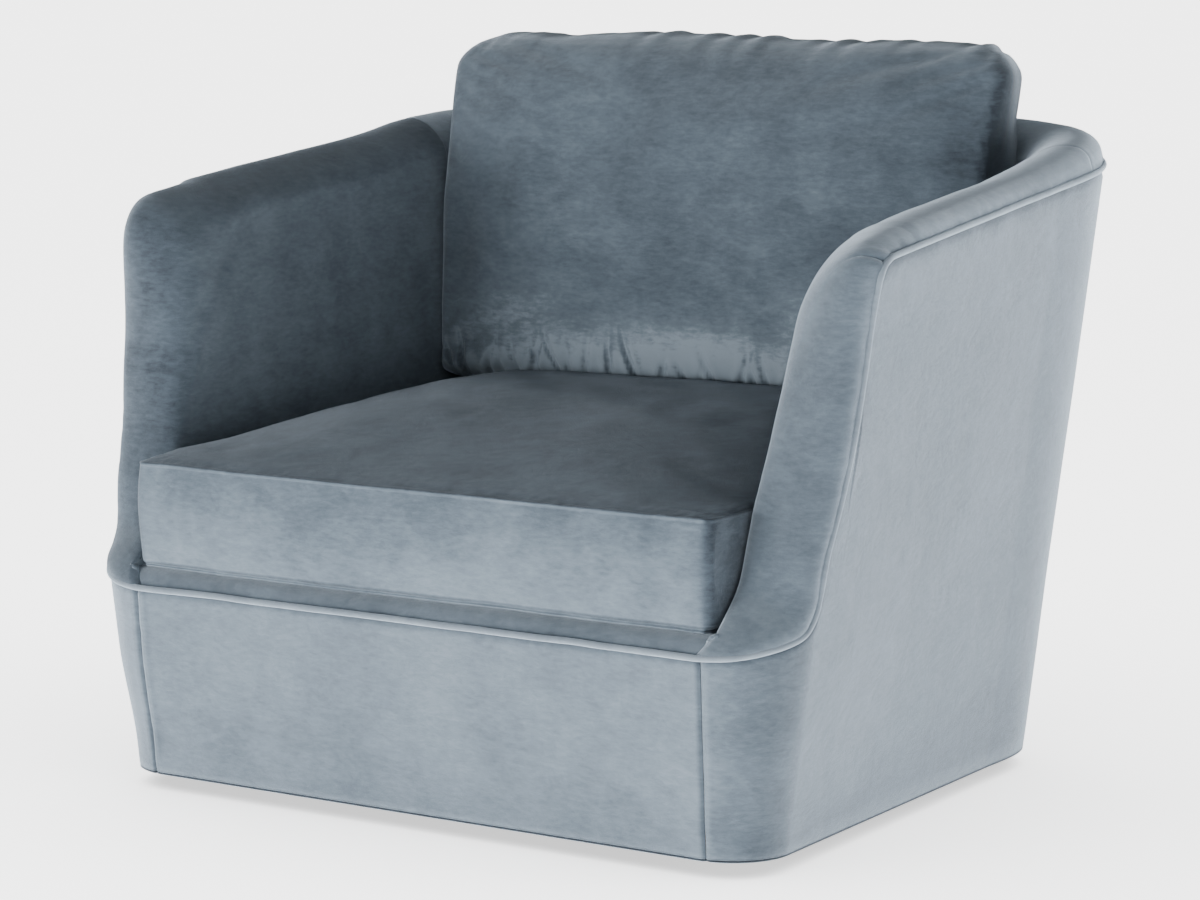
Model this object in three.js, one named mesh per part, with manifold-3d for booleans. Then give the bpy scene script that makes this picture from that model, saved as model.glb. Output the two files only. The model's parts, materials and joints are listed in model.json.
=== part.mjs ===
// A swivel cuddle chair: an upholstered tub on a hidden swivel base, with a loose seat and back cushion.
// Millimetres, +Z up. The origin is on the floor on the swivel axis, and the sitter faces -Y.
import * as THREE from "three";
import { mergeVertices } from "three/addons/utils/BufferGeometryUtils.js";
import Module from "manifold-3d";

// Driving sizes of the tub's outer shell, measured at the hem unless said otherwise
const hemHeight = 20; // gap between the floor and the upholstered hem
const hemHalfWidth = 449; // where the sides leave the front corners
const hemDepth = 787;
const sideTaperShare = 0.036; // how fast the sides draw together towards the back
const frontCornerRadius = 72;
const rearCornerDepth = 211; // front-to-back length of the rounded rear
const rearRoundingPower = 3.8; // higher is squarer
const frontFlareShare = 0.082; // outward lean of each face for its height
const sideFlareShare = 0.123;
const backFlareShare = 0.099;

// The edge that carries the piping
const railTopHeight = 249; // piping along the front rail
const armTopHeight = 675; // piping at the front end of the arm
const armTopSetback = 151; // from the front of the hem
const armTopRiseShare = 0.114; // rise of the arm top towards the back
const seamSetIn = 10; // front seam, in from where the straight front ends at the hem corner
const pipingRadius = 4.5;
const joinGap = 0.3; // between pieces that touch

// The piping's way up the arm front: share of its run from the seam, and of its rise
const armFrontShares = [
  [0, 0],
  [0.133, 0.005],
  [0.249, 0.014],
  [0.382, 0.031],
  [0.474, 0.049],
  [0.526, 0.073],
  [0.561, 0.11],
  [0.584, 0.16],
  [0.61, 0.242],
  [0.665, 0.322],
  [0.735, 0.425],
  [0.785, 0.54],
  [0.821, 0.678],
  [0.861, 0.894],
  [0.908, 0.972],
  [1, 1],
];
const armFrontSteps = 20;

// Upholstery thicknesses
const coverThickness = 5;
const armThickness = 95; // outer face to inner face
const padThickness = 30;
const armCrown = 26; // how far the arm top swells above its piping
const armCrestInset = 46;
const rollDepthShare = 0.42; // drop of the roll from its crest to the inner face, of the arm's thickness
const borderThickness = 24;
const borderCrown = 15;
const borderBackInset = 9; // its hidden edge, from the outer face
const insideSetback = 10; // from the border's hidden edge to the inside pad's front edge
const pocketSetback = 18; // more on the frame's side
const lipDepth = 56;
const lipFootRise = 6.6; // over the ends of the springs

// The arm border's inner edge: height share of the arm front, and setback share of the arm top's setback
const innerEdgeShares = [
  [0.055, -0.02],
  [0.075, 0.04],
  [0.1, 0.12],
  [0.135, 0.22],
  [0.17, 0.3],
  [0.22, 0.37],
  [0.29, 0.44],
  [0.36, 0.505],
  [0.46, 0.59],
  [0.56, 0.68],
  [0.68, 0.79],
  [0.79, 0.93],
  [0.88, 1.1],
  [0.94, 1.27],
  [0.965, 1.42],
];
const rollStart = 64; // where the arm's roll takes over from the border, behind the corner of the arm top
const rollStartSteps = 4;
// Across the border: share of its width, of its crown, and of the roll's crown where it meets the roll
const borderProfileShares = [
  [0, 0, 0],
  [0.1, 0.62, 0.34],
  [0.27, 1, 0.76],
  [0.52, 0.88, 1],
  [0.78, 0.5, 0.95],
  [0.94, 0.2, 0.58],
  [1, 0, 0],
];

// Deck, seat cushion and back cushion
const deckRise = 23; // deck over the front piping
const deckTop = railTopHeight + deckRise;
const deckPadThickness = 14;
const deckClothThickness = 2;
const seatCushionThickness = 127; // at its seams
const seatCushionCrown = 42;
const seatCushionOverhang = 8; // cushion front, behind the piping's plane
const boxingDrawIn = 3;
const seatCornerRadius = 16;
const cushionClearance = 0.6;
const rearEase = 14; // from the back cushion's foot to the inside back
const backCushionTop = 886;
const backCushionThickness = 168;
const backCushionSeamThickness = 84;
const backCushionSideEase = 1.5; // room beside it, besides its clearance
const backCushionLean = 0.135; // radians
const backCornerRadius = 66;
const backFootCornerRadius = 40;

// Hardwood and plywood frame
const hemRailHeight = 38;
const hemRailWidth = 40;
const railThickness = 25;
const seatRailHeight = 60;
const seatRailDrop = 9; // below the front piping
const seatRailTop = railTopHeight - seatRailDrop;
const topRailThickness = 22;
const topRailDrop = 6; // below the piping
const railEase = 2.5; // room between a top rail and the padding round it
const railGap = 3.6; // between the front rail and the side seat rails
const sideRailTuck = 22; // how far the side seat rails draw in towards the back
const backRailTuck = 15; // how far the back seat rail stops short of them
const postInset = 18;
const postSetback = 7; // of an arm post's front, behind the arm border
const postFoot = 14; // of an arm post's foot, behind the front corner
const postRearReach = 30; // of an arm post, behind the start of the arm's roll
const postWidth = 62;
const postTopEase = 3; // the back's top rail drops towards its corners
const backPostInset = 22;
const backPostSpacing = 240;
const crossRailWidth = 60;
const crossRailHeight = 34;
const crossRailSpacing = 220;
const crossRailEndInset = 14; // from the outer face of the hem
const dustClothThickness = 1.2;
const dustClothOpening = 20; // round the disc

// Seat springs
const springCount = 5;
const springSpacing = 132;
const springWireRadius = 2;
const springHalfWidth = 24;
const springWaves = 9;
const springArch = 8;
const springBulgeShare = 0.17; // how far each bend swells, of a wave's length
const springStepsPerWave = 6;
const springSides = 5;

// Swivel base
const discRadius = 255;
const discThickness = 18;
const discEdgeRadius = 5;
const glideHeight = 6;
const glideRadius = 17;
const glideCount = 5;
const glideCircleShare = 0.86; // of the disc's radius
const raceRadius = 112;
const ballRadius = 4.5;
const ballCount = 12;
const raceSheet = 2.5; // sheet steel of the swivel plates
const raceWidth = 26;
const pinRadius = 9;
const pinClearance = 0.5;
const pinHeadRadius = 15;
const pinHeadHeight = 3;
const ballClearance = 0.35;
const raceFloor = 0.3; // sheet left under the groove, above the plate's own
const cageThickness = 2.4;
const cageWidth = 17;
const cageClearance = 0.8;
const swivelPlateHalf = 150;
const swivelPlateCorner = 24;
const swivelBoardHalf = 175;
const boltRadius = 4;
const boltHeadRadius = 7.5;
const boltHeadHeight = 3.2;
const boltPlaceShare = 0.82; // of the swivel plate's half side
const screwPlaceShare = 0.86;
const screwDepth = 12; // of the lower plate's screws in the disc
const cutOverrun = 2;

const wasm = await Module();
wasm.setup();
const vec = (x, y, z) => new THREE.Vector3(x, y, z);
const mix = THREE.MathUtils.lerp;
const group = new THREE.Group();
const quarter = Math.PI / 2;

const finish = (color, roughness, metalness = 0) => ({ color, roughness, metalness });
const velvet = finish(0x74838f, 0.85);
const foamCloth = finish(0x6c7a86, 0.9);
const welt = finish(0x7d8b96, 0.8);
const timber = finish(0xc6a87c, 0.7);
const plywood = finish(0xd2b88c, 0.7);
const steel = finish(0x9a9da0, 0.4, 1);
const blackPaint = finish(0x1c1d1f, 0.6);
const blackCloth = finish(0x202124, 0.95);
const plastic = finish(0x2a2a2c, 0.5);

function add(name, geometry, look) {
  const mesh = new THREE.Mesh(geometry, new THREE.MeshStandardMaterial(look));
  mesh.name = name;
  group.add(mesh);
  return mesh;
}

// Closed solids from rings of points

function volumeOf(points, faces) {
  let sum = 0;
  for (const [a, b, c] of faces) sum += points[a].dot(vec().crossVectors(points[b], points[c]));
  return sum;
}

function toGeometry(points, faces) {
  const turned = volumeOf(points, faces) < 0 ? faces.map(([a, b, c]) => [a, c, b]) : faces;
  const geometry = new THREE.BufferGeometry();
  const flat = points.flatMap((p) => p.toArray());
  geometry.setAttribute("position", new THREE.Float32BufferAttribute(flat, 3));
  geometry.setIndex(turned.flat());
  return geometry;
}

// Triangles of a flat-ish ring, found in the plane that it mostly lies in.
function capFaces(ring, start) {
  const normal = vec();
  ring.forEach((p, i) => {
    const q = ring[(i + 1) % ring.length];
    normal.add(vec((p.y - q.y) * (p.z + q.z), (p.z - q.z) * (p.x + q.x), (p.x - q.x) * (p.y + q.y)));
  });
  normal.normalize();
  const side = Math.abs(normal.z) < 0.9 ? vec(0, 0, 1) : vec(1, 0, 0);
  const u = vec().crossVectors(side, normal).normalize();
  const v = vec().crossVectors(normal, u);
  const flat = ring.map((p) => new THREE.Vector2(p.dot(u), p.dot(v)));
  return THREE.ShapeUtils.triangulateShape(flat, []).map((f) => f.map((i) => i + start));
}

// A solid skinned over rings with the same number of points; a loop joins its last ring to its first.
function skin(rings, loop = false) {
  const n = rings[0].length;
  const points = rings.flat();
  const faces = [];
  const count = loop ? rings.length : rings.length - 1;
  for (let r = 0; r < count; r++) {
    const a = r * n;
    const b = ((r + 1) % rings.length) * n;
    for (let i = 0; i < n; i++) {
      const j = (i + 1) % n;
      faces.push([a + i, b + i, b + j], [a + i, b + j, a + j]);
    }
  }
  if (!loop) {
    faces.push(...capFaces(rings[0], 0));
    faces.push(...capFaces(rings.at(-1), points.length - n).map(([p, q, r]) => [r, q, p]));
  }
  return toGeometry(points, faces);
}

// Like skin, but each end closes on one point.
function skinToPoints(first, rings, last) {
  const n = rings[0].length;
  const points = [first, ...rings.flat(), last];
  const end = points.length - 1;
  const faces = [];
  for (let i = 0; i < n; i++) {
    const j = (i + 1) % n;
    faces.push([0, 1 + j, 1 + i]);
    faces.push([end, end - n + i, end - n + j]);
    for (let r = 0; r < rings.length - 1; r++) {
      const a = 1 + r * n;
      const b = a + n;
      faces.push([a + i, b + j, b + i], [a + i, a + j, b + j]);
    }
  }
  return toGeometry(points, faces);
}

function mirrored(geometry) {
  const twin = geometry.clone().applyMatrix4(new THREE.Matrix4().makeScale(-1, 1, 1));
  const index = twin.getIndex().array;
  for (let i = 0; i < index.length; i += 3) [index[i + 1], index[i + 2]] = [index[i + 2], index[i + 1]];
  return twin;
}

function addPair(name, geometry, look) {
  add(name + "_right", geometry, look);
  add(name + "_left", mirrored(geometry), look);
}

// Booleans

function solidOf(geometry) {
  const bare = geometry.clone();
  bare.deleteAttribute("normal");
  bare.deleteAttribute("uv");
  const merged = mergeVertices(bare);
  const vertProperties = merged.getAttribute("position").array;
  const triVerts = merged.getIndex().array;
  return new wasm.Manifold(new wasm.Mesh({ numProp: 3, vertProperties, triVerts }));
}

function geometryOf(solid) {
  const mesh = solid.getMesh();
  const geometry = new THREE.BufferGeometry();
  geometry.setAttribute("position", new THREE.BufferAttribute(mesh.vertProperties, 3));
  geometry.setIndex(new THREE.BufferAttribute(mesh.triVerts, 1));
  return geometry;
}

// Drops the slivers that a cut leaves
function largestOf(solid) {
  return solid.decompose().sort((a, b) => b.volume() - a.volume())[0];
}

// The tub's outer face. A place on it is a distance along the hem and a height.

const straightFront = hemHalfWidth - frontCornerRadius;
const cornerRun = frontCornerRadius * quarter;
const sideStart = straightFront + cornerRun;
const rearStartY = hemDepth - rearCornerDepth;
const sideEnd = sideStart + rearStartY - frontCornerRadius;
const sideHalfAt = (y) => hemHalfWidth - sideTaperShare * (y - frontCornerRadius);
const rearHalf = sideHalfAt(rearStartY);
const outlineRun = sideEnd + rearCornerDepth + rearHalf; // the reading at the middle of the back
const seamPlace = straightFront + seamSetIn;

const topAt = (y) => armTopHeight + armTopRiseShare * (y - armTopSetback);
const backTopHeight = topAt(hemDepth + backFlareShare * (armTopHeight - hemHeight));
const frontReach = frontFlareShare * (railTopHeight - hemHeight) + pipingRadius;
const rearReach = hemDepth + backFlareShare * (backTopHeight - hemHeight) + pipingRadius;
const axisSetback = (rearReach - frontReach) / 2; // swivel axis behind the front of the hem

// Plan of the hem on the right side, before the lean: point and outward direction.
function hemAt(s) {
  if (s <= straightFront) return { x: s, y: 0, nx: 0, ny: -1 };
  if (s <= sideStart) {
    const angle = (s - straightFront) / frontCornerRadius;
    const nx = Math.sin(angle);
    const ny = -Math.cos(angle);
    return { x: straightFront + frontCornerRadius * nx, y: frontCornerRadius * (1 + ny), nx, ny };
  }
  if (s <= sideEnd) {
    const y = frontCornerRadius + s - sideStart;
    return { x: sideHalfAt(y), y, nx: 1, ny: 0 };
  }
  const turn = rearTurn((s - sideEnd) / (outlineRun - sideEnd));
  const c = Math.cos(turn);
  const d = Math.sin(turn);
  const reach = (c ** rearRoundingPower + d ** rearRoundingPower) ** (-1 / rearRoundingPower);
  const nx = (c * reach) ** (rearRoundingPower - 1) / rearHalf;
  const ny = (d * reach) ** (rearRoundingPower - 1) / rearCornerDepth;
  const size = Math.hypot(nx, ny);
  const place = { x: rearHalf * c * reach, y: rearStartY + rearCornerDepth * d * reach };
  return { ...place, nx: nx / size, ny: ny / size };
}

// Spreads the stations of the rounded rear, so that its side and its back get their due.
function rearTurn(share) {
  const sideShare = rearCornerDepth / (rearCornerDepth + rearHalf);
  if (share < sideShare) return (share / sideShare) * (quarter / 2);
  return (quarter / 2) * (1 + (share - sideShare) / (1 - sideShare));
}

const flareOf = (h) => {
  const front = Math.max(-h.ny, 0) ** 2 * frontFlareShare;
  const back = Math.max(h.ny, 0) ** 2 * backFlareShare;
  return front + back + h.nx ** 2 * sideFlareShare;
};

// A point of the tub at distance s and height z, set in from the outer face; past the middle is the left side
function shell(s, z, inset = 0, leanHeight = z) {
  const left = s > outlineRun || s < 0;
  const along = s < 0 ? -s : left ? 2 * outlineRun - s : s;
  const h = hemAt(along);
  const out = flareOf(h) * (leanHeight - hemHeight) - inset;
  return vec((h.x + h.nx * out) * (left ? -1 : 1), h.y + h.ny * out - axisSetback, z);
}

// The same for the straight side carried on past the front corner
function sideFace(s, z, inset, leanHeight) {
  if (s > sideEnd) return shell(s, z, inset, leanHeight);
  const y = frontCornerRadius + s - sideStart;
  return vec(sideHalfAt(y) + sideFlareShare * (leanHeight - hemHeight) - inset, y - axisSetback, z);
}

// Height of the arm and back top line at distance s
function topLine(s) {
  const h = hemAt(s > outlineRun ? 2 * outlineRun - s : s);
  const lean = h.ny * flareOf(h);
  return (topAt(h.y) - armTopRiseShare * lean * hemHeight) / (1 - armTopRiseShare * lean);
}

// Where the arm top begins, found from its setback
const armTopPlace = sideStart + armTopSetback - frontCornerRadius;

// Stations along the hem between two distances, closer together round the corners
const cornerSteps = 5;
const sideSteps = 2;
const rearSteps = 14;
const rearStation = (step) => mix(sideEnd, outlineRun, step / rearSteps);
function stations(from, to) {
  const marks = [0, straightFront, sideStart, sideEnd, outlineRun];
  const counts = [1, cornerSteps, sideSteps, rearSteps];
  const places = [];
  for (let k = 0; k < counts.length; k++)
    for (let i = 0; i < counts[k]; i++) places.push(mix(marks[k], marks[k + 1], i / counts[k]));
  const right = [...places, outlineRun];
  const all = [...right, ...right.slice(0, -1).reverse().map((s) => 2 * outlineRun - s)];
  return [from, ...all.filter((s) => s > from + joinGap && s < to - joinGap), to];
}

// The piping's route on the right side: [s, z] pairs
const armRun = armTopPlace - seamPlace;
const armRise = armTopHeight - railTopHeight;
const frontCurve = new THREE.SplineCurve(
  armFrontShares.map(([a, b]) => new THREE.Vector2(seamPlace + armRun * a, railTopHeight + armRise * b)),
);

function armFrontRoute() {
  return frontCurve.getPoints(armFrontSteps).map((p) => [p.x, p.y]);
}

function edgeRoute() {
  const front = [[0, railTopHeight]];
  const top = stations(armTopPlace, outlineRun).slice(1);
  return [...front, ...armFrontRoute(), ...top.map((s) => [s, topLine(s)])];
}

// The same route moved sideways on the face; positive is towards the outside cover
function movedRoute(route, distance) {
  return route.map(([s, z], i) => {
    const [s0, z0] = route[Math.max(i - 1, 0)];
    const [s1, z1] = route[Math.min(i + 1, route.length - 1)];
    const size = Math.hypot(s1 - s0, z1 - z0);
    return [s + ((z1 - z0) / size) * distance, z - ((s1 - s0) / size) * distance];
  });
}

// Outside covers

// Height of a route at distance s
function heightOn(route, s) {
  const k = Math.max(1, route.findIndex(([place]) => place >= s));
  const [s0, z0] = route[k - 1];
  const [s1, z1] = route[k];
  return mix(z0, z1, THREE.MathUtils.clamp((s - s0) / (s1 - s0), 0, 1));
}

function coverBetween(route) {
  return skin(
    route.map(([s, z]) => [
      shell(s, hemHeight),
      shell(s, z),
      shell(s, z, coverThickness),
      shell(s, hemHeight, coverThickness),
    ]),
  );
}

function makeOutsideCovers() {
  const edge = movedRoute(edgeRoute(), pipingRadius + joinGap);
  const half = joinGap / 2;
  const backSeam = rearStation(rearSeamStep);
  const frontTop = railTopHeight - pipingRadius - joinGap;
  const from = seamPlace + half;
  const to = backSeam - half;
  const along = edge.filter(([s]) => s > from && s < to);
  const isApart = (s) => along.every(([place]) => Math.abs(place - s) > joinGap);
  const rest = [...stations(from, to).slice(0, -1).filter(isApart), to];
  const side = [...along, ...rest.map((s) => [s, heightOn(edge, s)])];
  side.sort(([a], [b]) => a - b);
  const ends = [-seamPlace + half, -straightFront, straightFront, seamPlace - half];
  const back = stations(backSeam + half, 2 * outlineRun - backSeam - half);
  const backTop = (s) => topLine(s) - pipingRadius - joinGap;
  add("front_outside_cover", coverBetween(ends.map((s) => [s, frontTop])), velvet);
  addPair("side_outside_cover", coverBetween(side), velvet);
  add("back_outside_cover", coverBetween(back.map((s) => [s, backTop(s)])), velvet);
}
const rearSeamStep = 8; // the station of the seam beside the back

// Piping, one closed length

function makePiping() {
  const right = edgeRoute().slice(1);
  const left = right.slice(0, -1).reverse().map(([s, z]) => [2 * outlineRun - s, z]);
  const centres = [...right, ...left].map(([s, z]) => shell(s, z));
  const n = centres.length;
  const rings = centres.map((c, i) => {
    const ahead = vec().subVectors(centres[(i + 1) % n], centres[(i + n - 1) % n]).normalize();
    const outward = shellOutward([...right, ...left][i]);
    const across = outward.addScaledVector(ahead, -outward.dot(ahead)).normalize();
    const up = vec().crossVectors(ahead, across);
    return Array.from({ length: pipingSides }, (_, k) => {
      const angle = (2 * Math.PI * k) / pipingSides;
      return c.clone().addScaledVector(across, Math.cos(angle) * pipingRadius)
        .addScaledVector(up, Math.sin(angle) * pipingRadius);
    });
  });
  add("piping", skin(rings, true), welt);
}
const pipingSides = 8;

function shellOutward([s, z]) {
  return vec().subVectors(shell(s, z), shell(s, z, armThickness)).normalize();
}

// Inside arms and back: a roll over the top rail and a pad down to the deck

const seatTop = deckTop + seatCushionThickness;
const rollDrop = armThickness * rollDepthShare;
const skinInset = coverThickness + joinGap;
const pocketInset = armThickness - padThickness;

// How far ahead of the roll's start the pad's front edge reaches at height z
function forwardAt(z, setback = 0) {
  const rise = (z - railTopHeight) / armRise;
  const last = innerEdgeShares.length - 1;
  const k = Math.max(1, innerEdgeShares.findIndex(([r], i) => r >= rise || i === last));
  const [r0, b0] = innerEdgeShares[k - 1];
  const [r1, b1] = innerEdgeShares[k];
  const back = mix(b0, b1, THREE.MathUtils.clamp((rise - r0) / (r1 - r0), 0, 1)) * armTopSetback;
  return Math.max(0, armTopSetback + rollStart - back - borderThickness - insideSetback - setback);
}

// The pad's section at distance s; its lower part reaches forward by a share of the front edge's lead
function insideRing(s, lead) {
  const edge = topLine(s);
  const crest = edge + armCrown;
  const rollEnd = crest - rollDrop;
  const place = (inset, z) => {
    const extra = inset < armThickness ? pocketSetback : 0;
    return sideFace(s - lead * forwardAt(z, extra), z, inset, Math.max(z, seatTop));
  };
  const top = crestShares.map((t) => {
    const inset = mix(skinInset, armCrestInset, t);
    return shell(s, edge + armCrown * Math.sin(t * quarter), inset);
  });
  const inner = rollShares.map((t) => {
    const angle = t * quarter;
    const inset = mix(armCrestInset, armThickness, Math.sin(angle));
    return shell(s, rollEnd + rollDrop * Math.cos(angle), inset);
  });
  const heights = wallShares.map((t) => mix(seatTop, rollEnd, t));
  heights.push((deckBottom + seatTop) / 2, deckBottom);
  return [
    shell(s, edge - topRailDrop, skinInset),
    shell(s, edge, skinInset),
    ...top,
    ...inner,
    ...heights.map((z) => place(armThickness, z)),
    ...heights.reverse().map((z) => place(pocketInset, z)),
    shell(s, edge - topRailDrop, pocketInset),
  ];
}
const deckBottom = deckTop - deckPadThickness;
const crestShares = [0.25, 0.55, 1]; // of the way from the outer face to the crest
const rollShares = [0.4, 0.72, 1]; // of the roll's quarter turn
const wallShares = [0.8, 0.55, 0.3, 0]; // of the height from the seat's top to the roll

function makeInsides() {
  const start = armTopPlace + rollStart + joinGap;
  const split = rearStation(insideSeamStep);
  const led = leadShares.map((t) => mix(start, sideEnd, 1 - t));
  const arm = [...led, ...stations(sideEnd, split - joinGap / 2)];
  const rings = arm.map((s, i) => insideRing(s, leadShares[i] ?? 0));
  const cutter = solidOf(makeArmBorder(2 * joinGap)).add(solidOf(makeArmBorder()));
  addPair("inside_arm", geometryOf(largestOf(solidOf(skin(rings)).subtract(cutter))), foamCloth);
  const back = stations(split + joinGap / 2, 2 * outlineRun - split - joinGap / 2);
  add("inside_back", skin(back.map((s) => insideRing(s, 0))), foamCloth);
}
const leadShares = [1, 0.6, 0.25]; // lead of the pad's first rings
const insideSeamStep = 2; // the station of the seam between inside arm and inside back

// Borders: the padded faces of the arm fronts and the lip over the front rail

// Grown by a gap, the border also cuts the pad behind it.
function makeArmBorder(growth = 0) {
  const steps = Array.from({ length: rollStartSteps }, (_, i) => (i + 1) / rollStartSteps);
  const top = steps.map((t) => armTopPlace + rollStart * t);
  const route = [...armFrontRoute(), ...top.map((s) => [s, topLine(s)])];
  const inner = new THREE.SplineCurve(innerEdgeShares.map(([a, b]) => new THREE.Vector2(a, b)));
  const last = route.length - 1;
  const outerPoints = route.map(([s, z]) => shell(s, z, skinInset));
  const innerPoints = route.map((_, i) => {
    const [rise, back] = inner.getPoint(i / last).toArray();
    const z = railTopHeight + armRise * rise;
    const y = armTopSetback * back;
    const lean = sideFlareShare * (Math.max(z, seatTop) - hemHeight) - armThickness;
    return vec(sideHalfAt(y) + lean + joinGap - growth, y - axisSetback, z);
  });
  const end = outerPoints[last].y + growth;
  const hidden = movedRoute(route, borderThickness + growth);
  const rings = route.map((_, i) => {
    const blend = THREE.MathUtils.smoothstep(i / last, rollBlendShare, 1);
    const full = 1 + cornerFullShare * Math.sin(Math.PI * blend);
    const lifts = borderProfileShares.map(([, lift, rollLift]) =>
      full * mix(lift * borderCrown, rollLift * rollCrown, blend));
    const face = borderFace(outerPoints, innerPoints, i, lifts, borderThickness + growth);
    return [...face, shell(...hidden[i], borderBackInset)].map((p) => vec(p.x, Math.min(p.y, end), p.z));
  });
  return skin(rings);
}
const rollBlendShare = 0.6;
const cornerFullShare = 0.35; // extra swell at the arm's top front corner

// Swell of the border over its chord where it meets the roll
const crestShare = (armCrestInset - skinInset) / (armThickness - skinInset);
const rollCrown = armCrown + (rollDrop - armCrown) * crestShare;

// The border's padded face at one station, from the piping to the inner edge and round it
function borderFace(outer, inner, i, lifts, thickness) {
  const a = Math.max(i - 1, 0);
  const b = Math.min(i + 1, outer.length - 1);
  const along = vec().subVectors(outer[b], outer[a]).add(inner[b]).sub(inner[a]);
  const across = vec().subVectors(inner[i], outer[i]);
  const face = vec().crossVectors(along, across).normalize();
  const fullness = Math.min(1, across.length() / armThickness) ** 1.5;
  const front = borderProfileShares.map(([share], k) =>
    outer[i].clone().addScaledVector(across, share).addScaledVector(face, lifts[k] * fullness),
  );
  const back = inner[i].clone().addScaledVector(face.setX(0).normalize(), -thickness);
  return [...front, back];
}

// The lip between the two front seams
function makeFrontLip() {
  const end = seamPlace - joinGap / 2;
  const ring = (s) => {
    const rise = deckTop - joinGap - railTopHeight;
    const at = ([inset, lift]) => shell(s, railTopHeight + lift, inset, railTopHeight + Math.min(lift, 0));
    const foot = seatRailTop + lipFootRise - railTopHeight;
    const face = [[skinInset, foot], [skinInset, 0], [skinInset + pipingRadius, rise * lipCrestShare]];
    return [...face, [lipDepth * lipTopShare, rise], [lipDepth, rise], [lipDepth, foot]].map(at);
  };
  return skin([ring(-end), ring(end)]);
}
const lipCrestShare = 0.65; // height of its bend over the piping, of its rise
const lipTopShare = 0.4; // where its top levels out, of its depth

// Deck: a cloth over the springs and a thin pad on it

// Plan points of the space between the insides, at the deck and seat cushion
function insidePlan(clearance) {
  const right = stations(sideStart, outlineRun).filter((s) => s <= outlineRun);
  const half = right.map((s) => shell(s, 0, armThickness + clearance, seatTop));
  const left = half.slice(0, -1).reverse().map((p) => vec(-p.x, p.y, p.z));
  return [...half, ...left];
}

function slab(plan, bottom, top) {
  return skin([plan.map((p) => vec(p.x, p.y, bottom)), plan.map((p) => vec(p.x, p.y, top))]);
}

function deckPlan() {
  const plan = insidePlan(joinGap);
  const front = lipDepth + joinGap - frontFlareShare * (railTopHeight - hemHeight) - axisSetback;
  return plan.map((p) => vec(p.x, Math.max(p.y, front), 0));
}

function makeDeck() {
  const cloth = deckBottom - joinGap;
  add("deck_pad", slab(deckPlan(), deckBottom, deckTop), foamCloth);
  add("deck_cloth", slab(deckPlan(), cloth - deckClothThickness, cloth), blackCloth);
}

// Cushions

// Height of the seat cushion's top above its seam, for a share of the way to its sides and to its ends
const seatSwell = (across, along) => seatCushionCrown * (1 - across ** 4) * (1 - along ** 5);
const seatFront = seatCushionOverhang - frontFlareShare * (railTopHeight - hemHeight) - axisSetback;

function seatPlan() {
  const side = insidePlan(cushionClearance);
  const sideX = side[0].x;
  const corner = (k) => {
    const angle = quarter * (k / seatCornerSteps);
    return vec(
      sideX - seatCornerRadius * (1 - Math.sin(angle)),
      seatFront + seatCornerRadius * (1 - Math.cos(angle)),
      0,
    );
  };
  const right = Array.from({ length: seatCornerSteps + 1 }, (_, k) => corner(k));
  const front = seatFrontShares.map((t) => vec(t * (sideX - seatCornerRadius), seatFront, 0));
  const left = right.map((p) => vec(-p.x, p.y, 0)).reverse();
  return [...front, ...right, ...side.map((p) => vec(p.x, p.y, 0)), ...left];
}
const seatCornerSteps = 3;
const seatFrontShares = [-0.75, -0.5, -0.25, 0, 0.25, 0.5, 0.75];

function makeSeatCushion() {
  const plan = seatPlan();
  const ends = [Math.min(...plan.map((p) => p.y)), Math.max(...plan.map((p) => p.y))];
  const centre = vec(0, (ends[0] + ends[1]) / 2, 0);
  const half = vec(Math.max(...plan.map((p) => p.x)), (ends[1] - ends[0]) / 2, 0);
  const bottom = deckTop + joinGap;
  const top = bottom + seatCushionThickness;
  const row = (scale, z) => plan.map((p) => {
    const q = centre.clone().lerp(p, scale);
    return vec(q.x, q.y, z(Math.abs(q.x - centre.x) / half.x, Math.abs(q.y - centre.y) / half.y));
  });
  const drawn = (depth) => 1 - (boxingDrawIn * depth) / half.y;
  const rows = [row(seatUnderShare, () => bottom)];
  for (const t of boxingShares) rows.push(row(drawn(Math.sin(Math.PI * t)), () => mix(bottom, top, t)));
  for (const t of seatCrownShares) rows.push(row(t, (a, b) => top + seatSwell(a, b) * edgeEase(t)));
  return skinToPoints(vec(0, centre.y, bottom), rows, vec(0, centre.y, top + seatCushionCrown));
}
const edgeEase = (scale) => Math.min(1, (1 - scale ** 2) * seatEdgeShare);
const seatUnderShare = 0.6; // of the plan, for a ring of the underside
const boxingShares = [0, 0.12, 0.5, 0.88, 1]; // of the boxing's height
const seatCrownShares = [0.94, 0.82, 0.62, 0.36]; // of the plan, for the rings of the top
const seatEdgeShare = 4; // how soon the crown is full, in from the seam

// Where the inside faces stand at height z: points from the side round to the middle of the back
function insideFaces(z) {
  return stations(sideEnd, outlineRun).map((s) => shell(s, z, armThickness, Math.max(z, seatTop)));
}

// Half the room between the inside faces at a depth
function roomAt(y, faces) {
  const k = Math.max(1, faces.findIndex((q) => q.y >= y));
  const share = THREE.MathUtils.clamp((y - faces[k - 1].y) / (faces[k].y - faces[k - 1].y), 0, 1);
  return mix(faces[k - 1].x, faces[k].x, share) - cushionClearance;
}

// Keeps a point of a cushion row clear of the inside back.
function keepInside(p, faces) {
  const x = Math.abs(p.x);
  const found = faces.findIndex((q) => q.x <= x);
  const k = found < 0 ? faces.length - 1 : Math.max(1, found);
  const share = THREE.MathUtils.clamp((faces[k - 1].x - x) / (faces[k - 1].x - faces[k].x), 0, 1);
  const wall = mix(faces[k - 1].y, faces[k].y, share) - 2 * cushionClearance;
  return vec(p.x, Math.min(p.y, wall), p.z);
}

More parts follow.
